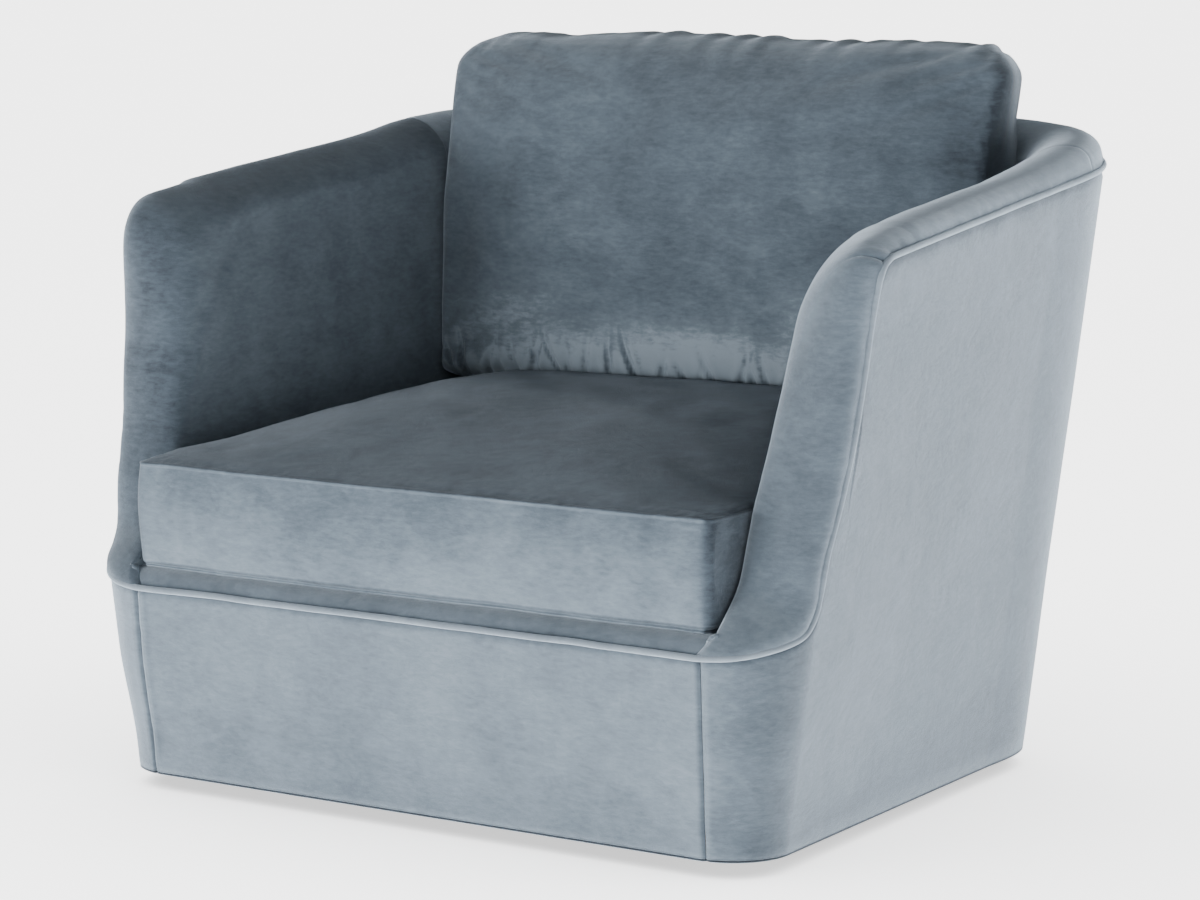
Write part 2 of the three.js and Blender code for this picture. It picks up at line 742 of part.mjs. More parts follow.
// The back cushion stands on the seat cushion's crown and leans on the inside back.
function makeBackCushion() {
  const base = seatTop + seatCushionCrown * backStandShare;
  const height = backCushionTop - base;
  const foot = insideFaces(base).at(-1).y - rearEase;
  const rows = backRowShares.map((t) => {
    const z = base + height * t;
    const faces = insideFaces(z);
    const belly = Math.sqrt(1 - Math.abs(2 * t - 1) ** 3);
    const end = Math.min(1, edgeRound(Math.min(t, 1 - t) * height, backCushionSeamThickness / 2));
    const seam = backCushionSeamThickness * mix(backEdgeShare, 1, end);
    const thick = mix(seam, backCushionThickness, belly) / 2;
    const rear = foot + (z - base) * Math.tan(backCushionLean);
    const wall = Math.min(rear, faces.at(-1).y) - (backCushionThickness / 2) * backSetShare * (1 - belly);
    const corner = t > 0.5 ? backCornerRadius : backFootCornerRadius;
    const loss = corner * (1 - edgeRound(Math.min(t, 1 - t) * height, corner));
    const room = roomAt(wall - thick, faces);
    const width = room - backCushionSideEase - loss;
    return cushionRow(width, thick, wall - thick, z).map((p) => keepInside(p, faces));
  });
  const middle = (row) => row.reduce((sum, p) => sum.add(p), vec()).divideScalar(row.length);
  const lift = vec(0, 0, joinGap);
  return skinToPoints(middle(rows[0]).sub(lift), rows, middle(rows.at(-1)).add(lift));
}
const backStandShare = 0.86; // of the seat's crown, under the cushion's front edge
const backRowShares = [0, 0.012, 0.04, 0.1, 0.2, 0.36, 0.54, 0.72, 0.84, 0.91, 0.96, 0.988, 1];
const backEdgeShare = 0.55; // thickness at the very top and foot, of that at the seams
const backSetShare = 0.25;

// Height of a quarter circle of a radius at a depth in from its edge, as a share
function edgeRound(depth, radius) {
  const left = Math.max(0, 1 - depth / radius);
  return Math.sqrt(1 - left * left);
}

function cushionRow(halfWidth, halfDepth, y, z) {
  const row = [];
  for (let k = 0; k < backCushionSides; k++) {
    const angle = (2 * Math.PI * k) / backCushionSides;
    const c = Math.cos(angle);
    const d = Math.sin(angle);
    const reach = (Math.abs(c) ** cushionPower + Math.abs(d) ** cushionPower) ** (-1 / cushionPower);
    row.push(vec(halfWidth * c * reach, y + halfDepth * d * reach, z));
  }
  return row;
}
const backCushionSides = 40;
const cushionPower = 3.4;

// Frame

function railSection(s, outer, inner, bottom, top) {
  return [shell(s, bottom, outer), shell(s, top, outer), shell(s, top, inner), shell(s, bottom, inner)];
}

// A rail that follows the outer face between two distances
function railAlong(from, to, outer, inner, bottom, top) {
  return skin(stations(from, to).map((s) => railSection(s, outer, inner, bottom(s), top(s))));
}

function makeHemRails() {
  const bottom = () => hemHeight + joinGap + dustClothThickness + joinGap;
  const top = () => bottom() + hemRailHeight;
  const gap = joinGap / 2;
  const inner = skinInset + hemRailWidth;
  const rail = (from, to) => railAlong(from, to, skinInset, inner, bottom, top);
  const ends = [gap - straightFront, straightFront - gap];
  add("hem_rail_front", skin(ends.map((s) => railSection(s, skinInset, inner, bottom(), top()))), plywood);
  addPair("hem_rail_side", rail(straightFront + gap, sideEnd - gap), plywood);
  add("hem_rail_back", rail(sideEnd + gap, 2 * outlineRun - sideEnd - gap), plywood);
}
const hemRailTop = hemHeight + dustClothThickness + 2 * joinGap + hemRailHeight;

function makeTopRails() {
  const top = (s) => topLine(s) - topRailDrop - railEase;
  const bottom = (s) => top(s) - topRailThickness;
  const rail = (from, to) => railAlong(from, to, skinInset, pocketInset - railEase, bottom, top);
  const gap = joinGap / 2;
  addPair("arm_top_rail", rail(armTopPlace + rollStart + railEase, sideEnd - gap), plywood);
  add("back_top_rail", rail(sideEnd + gap, 2 * outlineRun - sideEnd - gap), plywood);
}

// An arm post cut to the arm front's curve, behind the border
function makeArmPost() {
  const front = movedRoute(armFrontRoute(), borderThickness + postSetback);
  const rear = armTopPlace + rollStart + postRearReach;
  const low = sideStart + postFoot;
  const base = hemRailTop + joinGap;
  const shoulder = armTopHeight - borderThickness * shoulderShare;
  const top = topLine(armTopPlace + rollStart) - topRailDrop - railEase - topRailThickness - joinGap;
  const foot = railTopHeight + borderThickness;
  const heights = [base, ...postRowShares.map((t) => mix(foot, shoulder, t)), shoulder + joinGap, top];
  const rows = heights.map((z) => {
    const crossing = front.findLast(([, h], k) => h <= z || k === 0);
    const next = front[Math.min(front.indexOf(crossing) + 1, front.length - 1)];
    const rise = next[1] - crossing[1];
    const share = rise > 0 ? THREE.MathUtils.clamp((z - crossing[1]) / rise, 0, 1) : 0;
    const curve = Math.max(low, mix(crossing[0], next[0], share));
    const s = z > shoulder ? armTopPlace + rollStart + railEase : curve;
    const inner = postInset + railThickness;
    return [shell(s, z, postInset), shell(rear, z, postInset), shell(rear, z, inner), shell(s, z, inner)];
  });
  return skin(rows);
}
const postRowShares = [0, 0.15, 0.3, 0.45, 0.6, 0.75, 0.9, 1];
const shoulderShare = 2.9; // where the post steps back to its top, of the border's thickness

// A straight post against the inside of the back, between hem rail and top rail
function makeBackPost(x) {
  const top = backTopHeight - topRailDrop - topRailThickness - railEase - postTopEase;
  const rings = [hemRailTop + joinGap, top].map((z) => {
    const y = shell(outlineRun, z, backPostInset).y;
    const half = postWidth / 2;
    return [[-1, 0], [1, 0], [1, 1], [-1, 1]].map(([a, b]) => vec(x + a * half, y - b * railThickness, z));
  });
  return skin(rings);
}

function makeSeatRails() {
  const bottom = seatRailTop - seatRailHeight;
  const frontFace = (z) => shell(0, z, skinInset).y;
  const frontHalf = straightFront;
  const rows = [hemRailTop + joinGap, seatRailTop].map((z) => {
    const y = frontFace(z);
    return [[-1, 0], [1, 0], [1, 1], [-1, 1]].map(([a, b]) => vec(a * frontHalf, y + b * railThickness, z));
  });
  add("front_rail", skin(rows), timber);
  const outer = postInset + railThickness + joinGap;
  const from = frontFace(seatRailTop) + railThickness + railGap;
  const to = backRailFront();
  const rail = [[from, 0], [to, sideRailTuck]].map(([y, tuck]) => {
    const x = sideHalfAt(y + axisSetback) + sideFlareShare * (bottom - hemHeight) - outer - tuck;
    const corners = [[0, bottom], [0, seatRailTop], [-railThickness, seatRailTop], [-railThickness, bottom]];
    return corners.map(([dx, z]) => vec(x + dx, y - joinGap, z));
  });
  addPair("side_seat_rail", skin(rail), timber);
  const half = rail[1][0].x - backRailTuck;
  const rear = to + railThickness;
  add("back_seat_rail", boxBetween(vec(-half, to, bottom), vec(half, rear, seatRailTop)), timber);
}
// The back seat rail stands against the posts.
function backRailFront() {
  return shell(outlineRun, seatRailTop - seatRailHeight, backPostInset).y - 2 * railThickness - joinGap;
}

function boxBetween(low, high) {
  const size = vec().subVectors(high, low);
  return new THREE.BoxGeometry(size.x, size.y, size.z).translate(
    (low.x + high.x) / 2,
    (low.y + high.y) / 2,
    (low.z + high.z) / 2,
  );
}

// Springs: one zigzag wire each, from the front rail to the back seat rail

class SpringCurve extends THREE.Curve {
  constructor(x, from, to) {
    super();
    Object.assign(this, { x, from, to });
  }

  getPoint(t) {
    const wave = (this.to - this.from) / springWaves;
    const turn = 2 * Math.PI * springWaves * t;
    const ease = Math.min(1, Math.sin(Math.PI * t) * springEndEase);
    const y = mix(this.from, this.to, t) - springBulgeShare * wave * Math.sin(2 * turn) * ease;
    const z = seatRailTop + springWireRadius + joinGap + springArch * Math.sin(Math.PI * t);
    return vec(this.x + springHalfWidth * Math.sin(turn) * ease, y, z);
  }
}
const springEndEase = 6;

function makeSprings() {
  const from = shell(0, seatRailTop, skinInset).y + railThickness * springEndShare;
  const to = backRailFront() + railThickness * springEndShare;
  for (let k = 0; k < springCount; k++) {
    const x = (k - (springCount - 1) / 2) * springSpacing;
    const steps = springWaves * springStepsPerWave;
    const curve = new SpringCurve(x, from, to);
    const shape = new THREE.Shape(
      Array.from({ length: springSides }, (_, i) => {
        const angle = (2 * Math.PI * i) / springSides;
        return new THREE.Vector2(Math.cos(angle) * springWireRadius, Math.sin(angle) * springWireRadius);
      }),
    );
    add(`seat_spring_${k + 1}`, new THREE.ExtrudeGeometry(shape, { steps, extrudePath: curve }), steel);
    if (k === 0) console.log(`least self gap of a spring ${springGap(curve, steps).toFixed(1)} mm`);
  }
}
const springEndShare = 0.5;

// Least distance between a spring's wire and itself, more than half a wave apart
function springGap(curve, steps) {
  const points = curve.getPoints(steps);
  let least = Infinity;
  for (let i = 0; i < points.length; i++)
    for (let j = i + springStepsPerWave / 2; j < points.length; j++)
      least = Math.min(least, points[i].distanceTo(points[j]));
  return least - 2 * springWireRadius;
}

// Swivel base: a disc on glides, two pressed plates with a ring of balls between them, and a board

const discBottom = glideHeight + joinGap;
const discTop = discBottom + discThickness;
const lowerPlateBottom = discTop + joinGap;
const lowerPlateTop = lowerPlateBottom + raceSheet;
const ballCentre = lowerPlateTop + raceFloor + ballClearance + ballRadius;
const upperPlateBottom = ballCentre + ballRadius + ballClearance + raceFloor;
const upperPlateTop = upperPlateBottom + raceSheet;
const boardBottom = upperPlateTop + joinGap;

// A turned solid from [radius, height] pairs
function turned(points, segments) {
  const profile = points.map(([r, z]) => new THREE.Vector2(r, z));
  return new THREE.LatheGeometry(profile, segments).rotateX(quarter);
}

function disc(radius, bottom, top, segments = discSegments) {
  return turned([[0, bottom], [radius, bottom], [radius, top], [0, top]], segments);
}

function roundedSquare(half, corner, bottom, top) {
  const shape = new THREE.Shape();
  const straight = half - corner;
  [[1, -1], [1, 1], [-1, 1], [-1, -1]].forEach(([a, b], k) => {
    shape.absarc(a * straight, b * straight, corner, (k - 1) * quarter, k * quarter);
  });
  const options = { depth: top - bottom, bevelEnabled: false, curveSegments: plateCornerSteps };
  return new THREE.ExtrudeGeometry(shape, options).translate(0, 0, bottom);
}
const plateCornerSteps = 4;

// Drills round holes, one at each [x, y, radius]; the facets lie outside the radius.
function drilled(solid, holes, bottom, top) {
  return holes.reduce((rest, [x, y, radius]) => {
    const corner = radius / Math.cos(Math.PI / boltSegments);
    const hole = disc(corner, bottom - cutOverrun, top + cutOverrun, boltSegments).translate(x, y, 0);
    return rest.subtract(solidOf(hole));
  }, solid);
}

const fourCorners = (reach) => [[1, 1], [-1, 1], [-1, -1], [1, -1]].map(([a, b]) => [a * reach, b * reach]);
const boltHoles = (reach) => fourCorners(reach).map(([x, y]) => [x, y, boltHole]);

// A pressed plate with its raised race; the upper one is the same turned over.
function makePlate(name, boltReach, upper) {
  const raceTop = ballCentre - cageThickness / 2 - cageClearance;
  const sheet = solidOf(roundedSquare(swivelPlateHalf, swivelPlateCorner, lowerPlateBottom, lowerPlateTop));
  const low = lowerPlateTop - raceSheet / 2;
  const race = [[raceRadius - raceWidth / 2, low], [raceRadius + raceWidth / 2, low],
    [raceRadius + raceWidth / 2, raceTop], [raceRadius - raceWidth / 2, raceTop]];
  const ring = solidOf(turned([...race, race[0]], raceSegments));
  const groove = new THREE.TorusGeometry(raceRadius, ballRadius + ballClearance, grooveSides, raceSegments);
  const pressed = sheet.add(ring).subtract(solidOf(groove.translate(0, 0, ballCentre)));
  const holes = [[0, 0, pinRadius + pinClearance], ...boltHoles(boltReach)];
  const plate = geometryOf(drilled(pressed, holes, lowerPlateBottom, raceTop));
  if (upper) plate.rotateX(Math.PI).translate(0, 0, 2 * ballCentre);
  add(name, plate, steel);
}
const raceSegments = 48;
const grooveSides = 12;
const boltSegments = 10;
const boltHole = boltRadius + joinGap;

function makeCage() {
  const [inner, outer] = [raceRadius - cageWidth / 2, raceRadius + cageWidth / 2];
  const [low, high] = [ballCentre - cageThickness / 2, ballCentre + cageThickness / 2];
  const section = [[inner, low], [outer, low], [outer, high], [inner, high], [inner, low]];
  let cage = solidOf(turned(section, raceSegments));
  for (let k = 0; k < ballCount; k++) {
    const angle = (2 * Math.PI * k) / ballCount;
    const ball = new THREE.SphereGeometry(ballRadius, ballSegments, ballRings).rotateX(quarter);
    const [x, y] = [raceRadius * Math.cos(angle), raceRadius * Math.sin(angle)];
    cage = cage.add(solidOf(ball.translate(x, y, ballCentre)));
  }
  add("ball_cage", geometryOf(cage), steel);
}
const ballSegments = 8;
const ballRings = 6;

// The pin has a shoulder on the lower plate and a head over the upper one.
function makePin() {
  const bottom = lowerPlateBottom + joinGap;
  const shoulder = lowerPlateTop + joinGap;
  const head = upperPlateTop + joinGap;
  add("swivel_pin", turned([
    [0, bottom],
    [pinRadius, bottom],
    [pinRadius, shoulder],
    [pinHeadRadius, shoulder],
    [pinHeadRadius, shoulder + pinHeadHeight],
    [pinRadius, shoulder + pinHeadHeight],
    [pinRadius, head],
    [pinHeadRadius, head],
    [pinHeadRadius, head + pinHeadHeight],
    [0, head + pinHeadHeight],
  ], pinSegments), steel);
}
const pinSegments = 16;

// Bolts with their heads in the space between the plates; up says which way the shank points.
function addBolts(name, reach, face, length, up) {
  for (const [k, [x, y]] of fourCorners(reach).entries()) {
    const head = [[0, -boltHeadHeight], [boltHeadRadius, -boltHeadHeight], [boltHeadRadius, 0]];
    const bolt = turned([...head, [boltRadius, 0], [boltRadius, length], [0, length]], boltSegments);
    if (!up) bolt.rotateX(Math.PI);
    add(`${name}_${k + 1}`, bolt.translate(x, y, face), steel);
  }
}

function makeSwivel() {
  const edge = discEdgeRadius;
  const screwReach = swivelPlateHalf * screwPlaceShare;
  const boltReach = swivelPlateHalf * boltPlaceShare;
  const profile = [[0, discBottom], [discRadius - edge, discBottom], [discRadius, discBottom + edge],
    [discRadius, discTop - edge], [discRadius - edge, discTop], [0, discTop]];
  const holeFloor = discTop - screwDepth - joinGap + cutOverrun;
  const bored = drilled(solidOf(turned(profile, discSegments)), boltHoles(screwReach), holeFloor, discTop);
  add("floor_disc", geometryOf(bored), blackPaint);
  for (let k = 0; k < glideCount; k++) {
    const angle = quarter + (2 * Math.PI * k) / glideCount;
    const reach = discRadius * glideCircleShare;
    const foot = [[0, 0], [glideRadius * glideFootShare, 0], [glideRadius, glideHeight * glideBevelShare]];
    const glide = turned([...foot, [glideRadius, glideHeight], [0, glideHeight]], glideSegments);
    glide.translate(reach * Math.cos(angle), reach * Math.sin(angle), 0);
    add(`floor_glide_${k + 1}`, glide, plastic);
  }
  makePlate("lower_swivel_plate", screwReach, false);
  makePlate("upper_swivel_plate", boltReach, true);
  makeCage();
  makePin();
  addBolts("swivel_screw", screwReach, lowerPlateTop + joinGap, raceSheet + screwDepth, false);
  const boltRun = hemRailTop - upperPlateBottom - boltRadius;
  addBolts("swivel_bolt", boltReach, upperPlateBottom - joinGap, boltRun, true);
  const board = solidOf(roundedSquare(swivelBoardHalf, swivelPlateCorner, boardBottom, hemRailTop));
  const boardHoles = [[0, 0, pinHeadRadius + pinClearance], ...boltHoles(boltReach)];
  add("swivel_board", geometryOf(drilled(board, boardHoles, boardBottom, hemRailTop)), plywood);
}
const discSegments = 40;
const glideSegments = 12;
const glideFootShare = 0.85; // radius of its foot
const glideBevelShare = 0.3; // height of its bevel

// Cross rails between the side hem rails carry the board.
function makeCrossRails() {
  const bottom = hemRailTop + joinGap;
  for (const [name, share] of [["cross_rail_front", -1], ["cross_rail_rear", 1]]) {
    const y = (share * crossRailSpacing) / 2;
    const rail = [-1, 1].map((side) => [[-1, 0], [1, 0], [1, 1], [-1, 1]].map(([a, b]) => {
      const place = y + (a * crossRailWidth) / 2;
      const half = sideHalfAt(place + axisSetback) - crossRailEndInset;
      return vec(side * half, place, bottom + b * crossRailHeight);
    }));
    add(name, skin(rail), timber);
  }
}

// Dust cloth stapled under the hem rails, with a round opening for the swivel
function makeDustCloth() {
  const bottom = hemHeight + joinGap;
  const plan = stations(0, 2 * outlineRun - joinGap).slice(0, -1).map((s) => shell(s, bottom, skinInset));
  const outline = plan.filter((p, i) => i === 0 || plan[i - 1].distanceTo(p) > joinGap);
  const shape = new THREE.Shape(outline.map((p) => new THREE.Vector2(p.x, p.y)));
  const hole = new THREE.Path();
  hole.absarc(0, 0, discRadius + dustClothOpening, 0, 2 * Math.PI);
  shape.holes.push(hole);
  const options = { depth: dustClothThickness, bevelEnabled: false, curveSegments: openingSegments };
  add("dust_cloth", new THREE.ExtrudeGeometry(shape, options).translate(0, 0, bottom), blackCloth);
}
const openingSegments = 24;

makeOutsideCovers();
makePiping();
makeInsides();
addPair("arm_border", makeArmBorder(), velvet);
add("front_lip", makeFrontLip(), velvet);
makeDeck();
add("seat_cushion", makeSeatCushion(), velvet);
add("back_cushion", makeBackCushion(), velvet);
makeHemRails();
makeTopRails();
addPair("arm_post", makeArmPost(), plywood);
for (const k of [0, 1, 2]) add(`back_post_${k + 1}`, makeBackPost((k - 1) * backPostSpacing), timber);
makeSeatRails();
makeSprings();
makeSwivel();
makeCrossRails();
makeDustCloth();

export default group;
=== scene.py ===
# The looks of the swivel cuddle chair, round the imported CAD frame. Metres, +Z up, the sitter faces -Y.
import json
import math
from collections import namedtuple

import bmesh
import bpy
import numpy as np
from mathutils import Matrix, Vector


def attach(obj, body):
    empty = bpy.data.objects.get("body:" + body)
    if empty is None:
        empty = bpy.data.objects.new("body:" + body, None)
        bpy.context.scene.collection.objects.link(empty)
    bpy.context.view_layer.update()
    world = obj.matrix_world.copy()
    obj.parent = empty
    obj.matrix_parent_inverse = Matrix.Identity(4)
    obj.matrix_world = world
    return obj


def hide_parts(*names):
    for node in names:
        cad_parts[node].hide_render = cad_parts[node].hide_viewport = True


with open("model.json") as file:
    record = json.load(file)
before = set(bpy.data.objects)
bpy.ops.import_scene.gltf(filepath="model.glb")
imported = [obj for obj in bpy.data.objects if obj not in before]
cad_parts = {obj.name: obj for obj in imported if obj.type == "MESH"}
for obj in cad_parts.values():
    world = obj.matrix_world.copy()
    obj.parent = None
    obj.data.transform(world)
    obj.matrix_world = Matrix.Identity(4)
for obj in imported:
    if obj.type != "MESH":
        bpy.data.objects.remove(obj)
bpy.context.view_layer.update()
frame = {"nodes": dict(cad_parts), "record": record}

# Sizes of the tub's outer shell, as in the CAD source
HEM_HEIGHT = 0.020
HEM_HALF = 0.449
HEM_DEPTH = 0.787
TAPER = 0.036
FRONT_RADIUS = 0.072
REAR_DEPTH = 0.211
REAR_POWER = 3.8
FRONT_FLARE, SIDE_FLARE, BACK_FLARE = 0.082, 0.123, 0.099
RAIL_TOP = 0.249
ARM_TOP = 0.675
ARM_SETBACK = 0.151
ARM_RISE = 0.114
SEAM_IN = 0.010
PIPE = 0.0045
CORD = 0.0037  # the piping as it shows, half sunk in its seam
ARM_FRONT = [
    (0, 0), (0.133, 0.005), (0.249, 0.014), (0.382, 0.031), (0.474, 0.049), (0.526, 0.073),
    (0.561, 0.11), (0.584, 0.16), (0.61, 0.242), (0.665, 0.322), (0.735, 0.425), (0.785, 0.54),
    (0.821, 0.678), (0.861, 0.894), (0.908, 0.972), (1, 1),
]
INNER_EDGE = [
    (0.055, -0.02), (0.075, 0.04), (0.1, 0.12), (0.135, 0.22), (0.17, 0.3), (0.22, 0.37),
    (0.29, 0.44), (0.36, 0.505), (0.46, 0.59), (0.56, 0.68), (0.68, 0.79), (0.79, 0.93),
    (0.88, 1.1), (0.94, 1.27), (0.965, 1.42),
]
ARM_THICK = 0.095
ROLL_START = 0.064
ROLL_END = -0.0139  # the roll's inner end, from the piping's height
DECK_TOP = 0.272
SEAT_SEAM = 0.3993
EASE_OUT, EASE_FORWARD = 0.004, 0.006  # how far the cloth stands off the shell at the arm fronts

STRAIGHT = HEM_HALF - FRONT_RADIUS
SIDE_START = STRAIGHT + FRONT_RADIUS * math.pi / 2
REAR_Y = HEM_DEPTH - REAR_DEPTH
SIDE_END = SIDE_START + REAR_Y - FRONT_RADIUS
REAR_HALF = HEM_HALF - TAPER * (REAR_Y - FRONT_RADIUS)
MIDDLE = SIDE_END + REAR_DEPTH + REAR_HALF
SEAM = STRAIGHT + SEAM_IN
ARM_TOP_PLACE = SIDE_START + ARM_SETBACK - FRONT_RADIUS


def top_at(y):
    return ARM_TOP + ARM_RISE * (y - ARM_SETBACK)


BACK_TOP = top_at(HEM_DEPTH + BACK_FLARE * (ARM_TOP - HEM_HEIGHT))
FRONT_REACH = FRONT_FLARE * (RAIL_TOP - HEM_HEIGHT) + PIPE
REAR_REACH = HEM_DEPTH + BACK_FLARE * (BACK_TOP - HEM_HEIGHT) + PIPE
AXIS = (REAR_REACH - FRONT_REACH) / 2


# Numbers


def ease(x, low, high):
    t = np.clip((np.asarray(x, float) - low) / (high - low), 0, 1)
    return t * t * (3 - 2 * t)


def bell(x, reach):
    """1 at 0, and falling off smoothly on both sides. It is 0.37 at the reach."""
    return np.exp(-((x / reach) ** 2))


def unit(vectors):
    return vectors / np.linalg.norm(vectors, axis=-1, keepdims=True)


def lengths(points, axis=0):
    """How far each point of a line is along it, from its first point."""
    run = np.cumsum(np.linalg.norm(np.diff(points, axis=axis), axis=-1), axis=axis)
    return np.concatenate([np.zeros_like(run.take([0], axis)), run], axis)


def nearest(points, line):
    """How far each plan point is from the nearest point of a line, and that one's number."""
    far, number = [], []
    for part in np.array_split(points, 40):
        gaps = np.linalg.norm(part[:, None] - line[None], axis=-1)
        far.append(gaps.min(1))
        number.append(gaps.argmin(1))
    return np.concatenate(far), np.concatenate(number)


def curve_at(points, t):
    """A smooth curve through points, evenly timed from 0 to 1."""
    p = np.asarray(points, float)
    n = len(p)
    u = np.clip(np.asarray(t, float), 0, 1) * (n - 1)
    k = np.minimum(u.astype(int), n - 2)
    w = (u - k)[..., None]
    p0, p1 = p[np.maximum(k - 1, 0)], p[k]
    p2, p3 = p[k + 1], p[np.minimum(k + 2, n - 1)]
    v0, v1 = (p2 - p0) / 2, (p3 - p1) / 2
    return (2 * p1 - 2 * p2 + v0 + v1) * w**3 + (-3 * p1 + 3 * p2 - 2 * v0 - v1) * w**2 + v0 * w + p1


def lattice(i, j, k, seed):
    h = (i * 374761393 + j * 668265263 + k * 1274126177 + seed * 974711) & 0xFFFFFFFF
    h = ((h ^ (h >> 13)) * 1103515245) & 0xFFFFFFFF
    h = ((h ^ (h >> 16)) * 668265263) & 0xFFFFFFFF
    return ((h ^ (h >> 15)) & 0xFFFF) / 32767.5 - 1


def noise(points, size, seed=0):
    """Smooth noise from -1 to 1 with bumps of about that size; size is one number or three."""
    q = np.asarray(points, float) / np.asarray(size, float) + 100.0
    i = np.floor(q).astype(np.int64)
    f = q - i
    f = f * f * (3 - 2 * f)
    total = np.zeros(q.shape[:-1])
    for a in (0, 1):
        for b in (0, 1):
            for c in (0, 1):
                weight = abs(1 - a - f[..., 0]) * abs(1 - b - f[..., 1]) * abs(1 - c - f[..., 2])
                total += weight * lattice(i[..., 0] + a, i[..., 1] + b, i[..., 2] + c, seed)
    return total


# The tub's outer face


def hem_at(s):
    """Plan of the hem on the right side, before the lean: x, y and the outward direction."""
    s = np.asarray(s, float)
    angle = np.clip((s - STRAIGHT) / FRONT_RADIUS, 0, math.pi / 2)
    nx, ny = np.sin(angle), -np.cos(angle)
    x = np.where(s < STRAIGHT, s, STRAIGHT + FRONT_RADIUS * nx)
    y = FRONT_RADIUS * (1 + ny)
    side_y = FRONT_RADIUS + s - SIDE_START
    on_side = s > SIDE_START
    x = np.where(on_side, HEM_HALF - TAPER * (side_y - FRONT_RADIUS), x)
    y = np.where(on_side, side_y, y)
    share = np.clip((s - SIDE_END) / (MIDDLE - SIDE_END), 0, 1)
    part = REAR_DEPTH / (REAR_DEPTH + REAR_HALF)
    turn = np.where(share < part, share / part, 1 + (share - part) / (1 - part)) * math.pi / 4
    c, d = np.maximum(np.cos(turn), 0), np.maximum(np.sin(turn), 0)
    reach = (c**REAR_POWER + d**REAR_POWER) ** (-1 / REAR_POWER)
    rx = (c * reach) ** (REAR_POWER - 1) / REAR_HALF
    ry = (d * reach) ** (REAR_POWER - 1) / REAR_DEPTH
    size = np.hypot(rx, ry)
    at_rear = s > SIDE_END
    x = np.where(at_rear, REAR_HALF * c * reach, x)
    y = np.where(at_rear, REAR_Y + REAR_DEPTH * d * reach, y)
    nx = np.where(at_rear, rx / size, np.where(on_side, 1, nx))
    ny = np.where(at_rear, ry / size, np.where(on_side, 0, ny))
    return x, y, nx, ny


def flare_of(nx, ny):
    front = np.maximum(-ny, 0) ** 2 * FRONT_FLARE
    return front + np.maximum(ny, 0) ** 2 * BACK_FLARE + nx**2 * SIDE_FLARE


def shell(s, z, inset=0.0, lean=None):
    """Points of the outer face at distances along the plan and at heights, or that far inside it.
    They stand as far out as the face does at the height lean, which is their own if none is given."""
    s, z = np.broadcast_arrays(np.asarray(s, float), np.asarray(z, float))
    lean = z if lean is None else lean
    x, y, nx, ny = hem_at(np.abs(s))
    out = flare_of(nx, ny) * (lean - HEM_HEIGHT) - inset
    return np.stack([(x + nx * out) * np.where(s < 0, -1, 1), y + ny * out - AXIS, z + 0 * out], -1)


def side_face(y, z):
    """Points of the straight side's inner face, carried on past the front corner. It is upright up
    to the seat's height, and y is measured from the front of the hem."""
    x = HEM_HALF - TAPER * (y - FRONT_RADIUS) + SIDE_FLARE * (np.maximum(z, SEAT_SEAM) - HEM_HEIGHT)
    return np.stack([x - ARM_THICK, y - AXIS + 0 * z, z], -1)


def eased_out(points):
    """Points of the cloth, which stands a little further out and forward than the shell below
    the arm's front corners, and a little less just under its top."""
    x, y, z = points[..., 0], points[..., 1], points[..., 2]
    share = ease(z, 0.05, 0.17) * (1 - ease(z, 0.46, 0.57)) - 0.6 * bell(z - 0.605, 0.045)
    share = share * (1 - ease(y, -0.30, -0.08)) * ease(np.abs(x), 0.28, 0.42)
    return points + np.stack([EASE_OUT * np.sign(x) * share, -EASE_FORWARD * share, 0 * share], -1)


def top_line(s):
    _, y, nx, ny = hem_at(np.abs(s))
    lean = ny * flare_of(nx, ny)
    return (top_at(y) - ARM_RISE * lean * HEM_HEIGHT) / (1 - ARM_RISE * lean)


def front_route(t):
    """The piping from the front seam up to the corner of the arm top: distance and height."""
    shares = curve_at(ARM_FRONT, t)
    s = SEAM + (ARM_TOP_PLACE - SEAM) * shares[..., 0]
    return np.stack([s, RAIL_TOP + (ARM_TOP - RAIL_TOP) * shares[..., 1]], -1)


def even(points, step):
    """The points of a line spaced evenly, about a step apart."""
    run = lengths(points)
    at = np.linspace(0, run[-1], max(2, int(round(run[-1] / step)) + 1))
    return np.stack([np.interp(at, run, points[:, k]) for k in range(points.shape[1])], -1)


def mirrored(half):
    """A ring of plan points from its right half, which starts and ends in the middle."""
    return np.concatenate([half, (half[1:-1] * [-1, 1])[::-1]])


def even_ring(half, step):
    """The same ring with its points spaced evenly, about a step apart."""
    ring = mirrored(half)
    return even(np.concatenate([ring, ring[:1]]), step)[:-1]


def inside_plan(inset, count):
    """Plan of the tub's right side at the seat's height, that far inside its outer face."""
    side = np.linspace(SIDE_START, MIDDLE, count)
    return shell(side, 0, inset, SEAT_SEAM)[:, :2]


front_part = front_route(np.linspace(0, 1, 400))
rear_part = np.linspace(ARM_TOP_PLACE, MIDDLE, 500)[1:]
right_route = np.concatenate([front_part, np.stack([rear_part, top_line(rear_part)], -1)])


# Meshes


def linked(name, data):
    """A new object in the scene."""
    obj = bpy.data.objects.new(name, data)
    bpy.context.scene.collection.objects.link(obj)
    return obj


def shade_smooth(mesh):
    mesh.polygons.foreach_set("use_smooth", [True] * len(mesh.polygons))


def new_object(name, points, faces):
    mesh = bpy.data.meshes.new(name)
    mesh.from_pydata([tuple(p) for p in points], [], [tuple(f) for f in faces])
    mesh.update()
    shade_smooth(mesh)
    return linked(name, mesh)


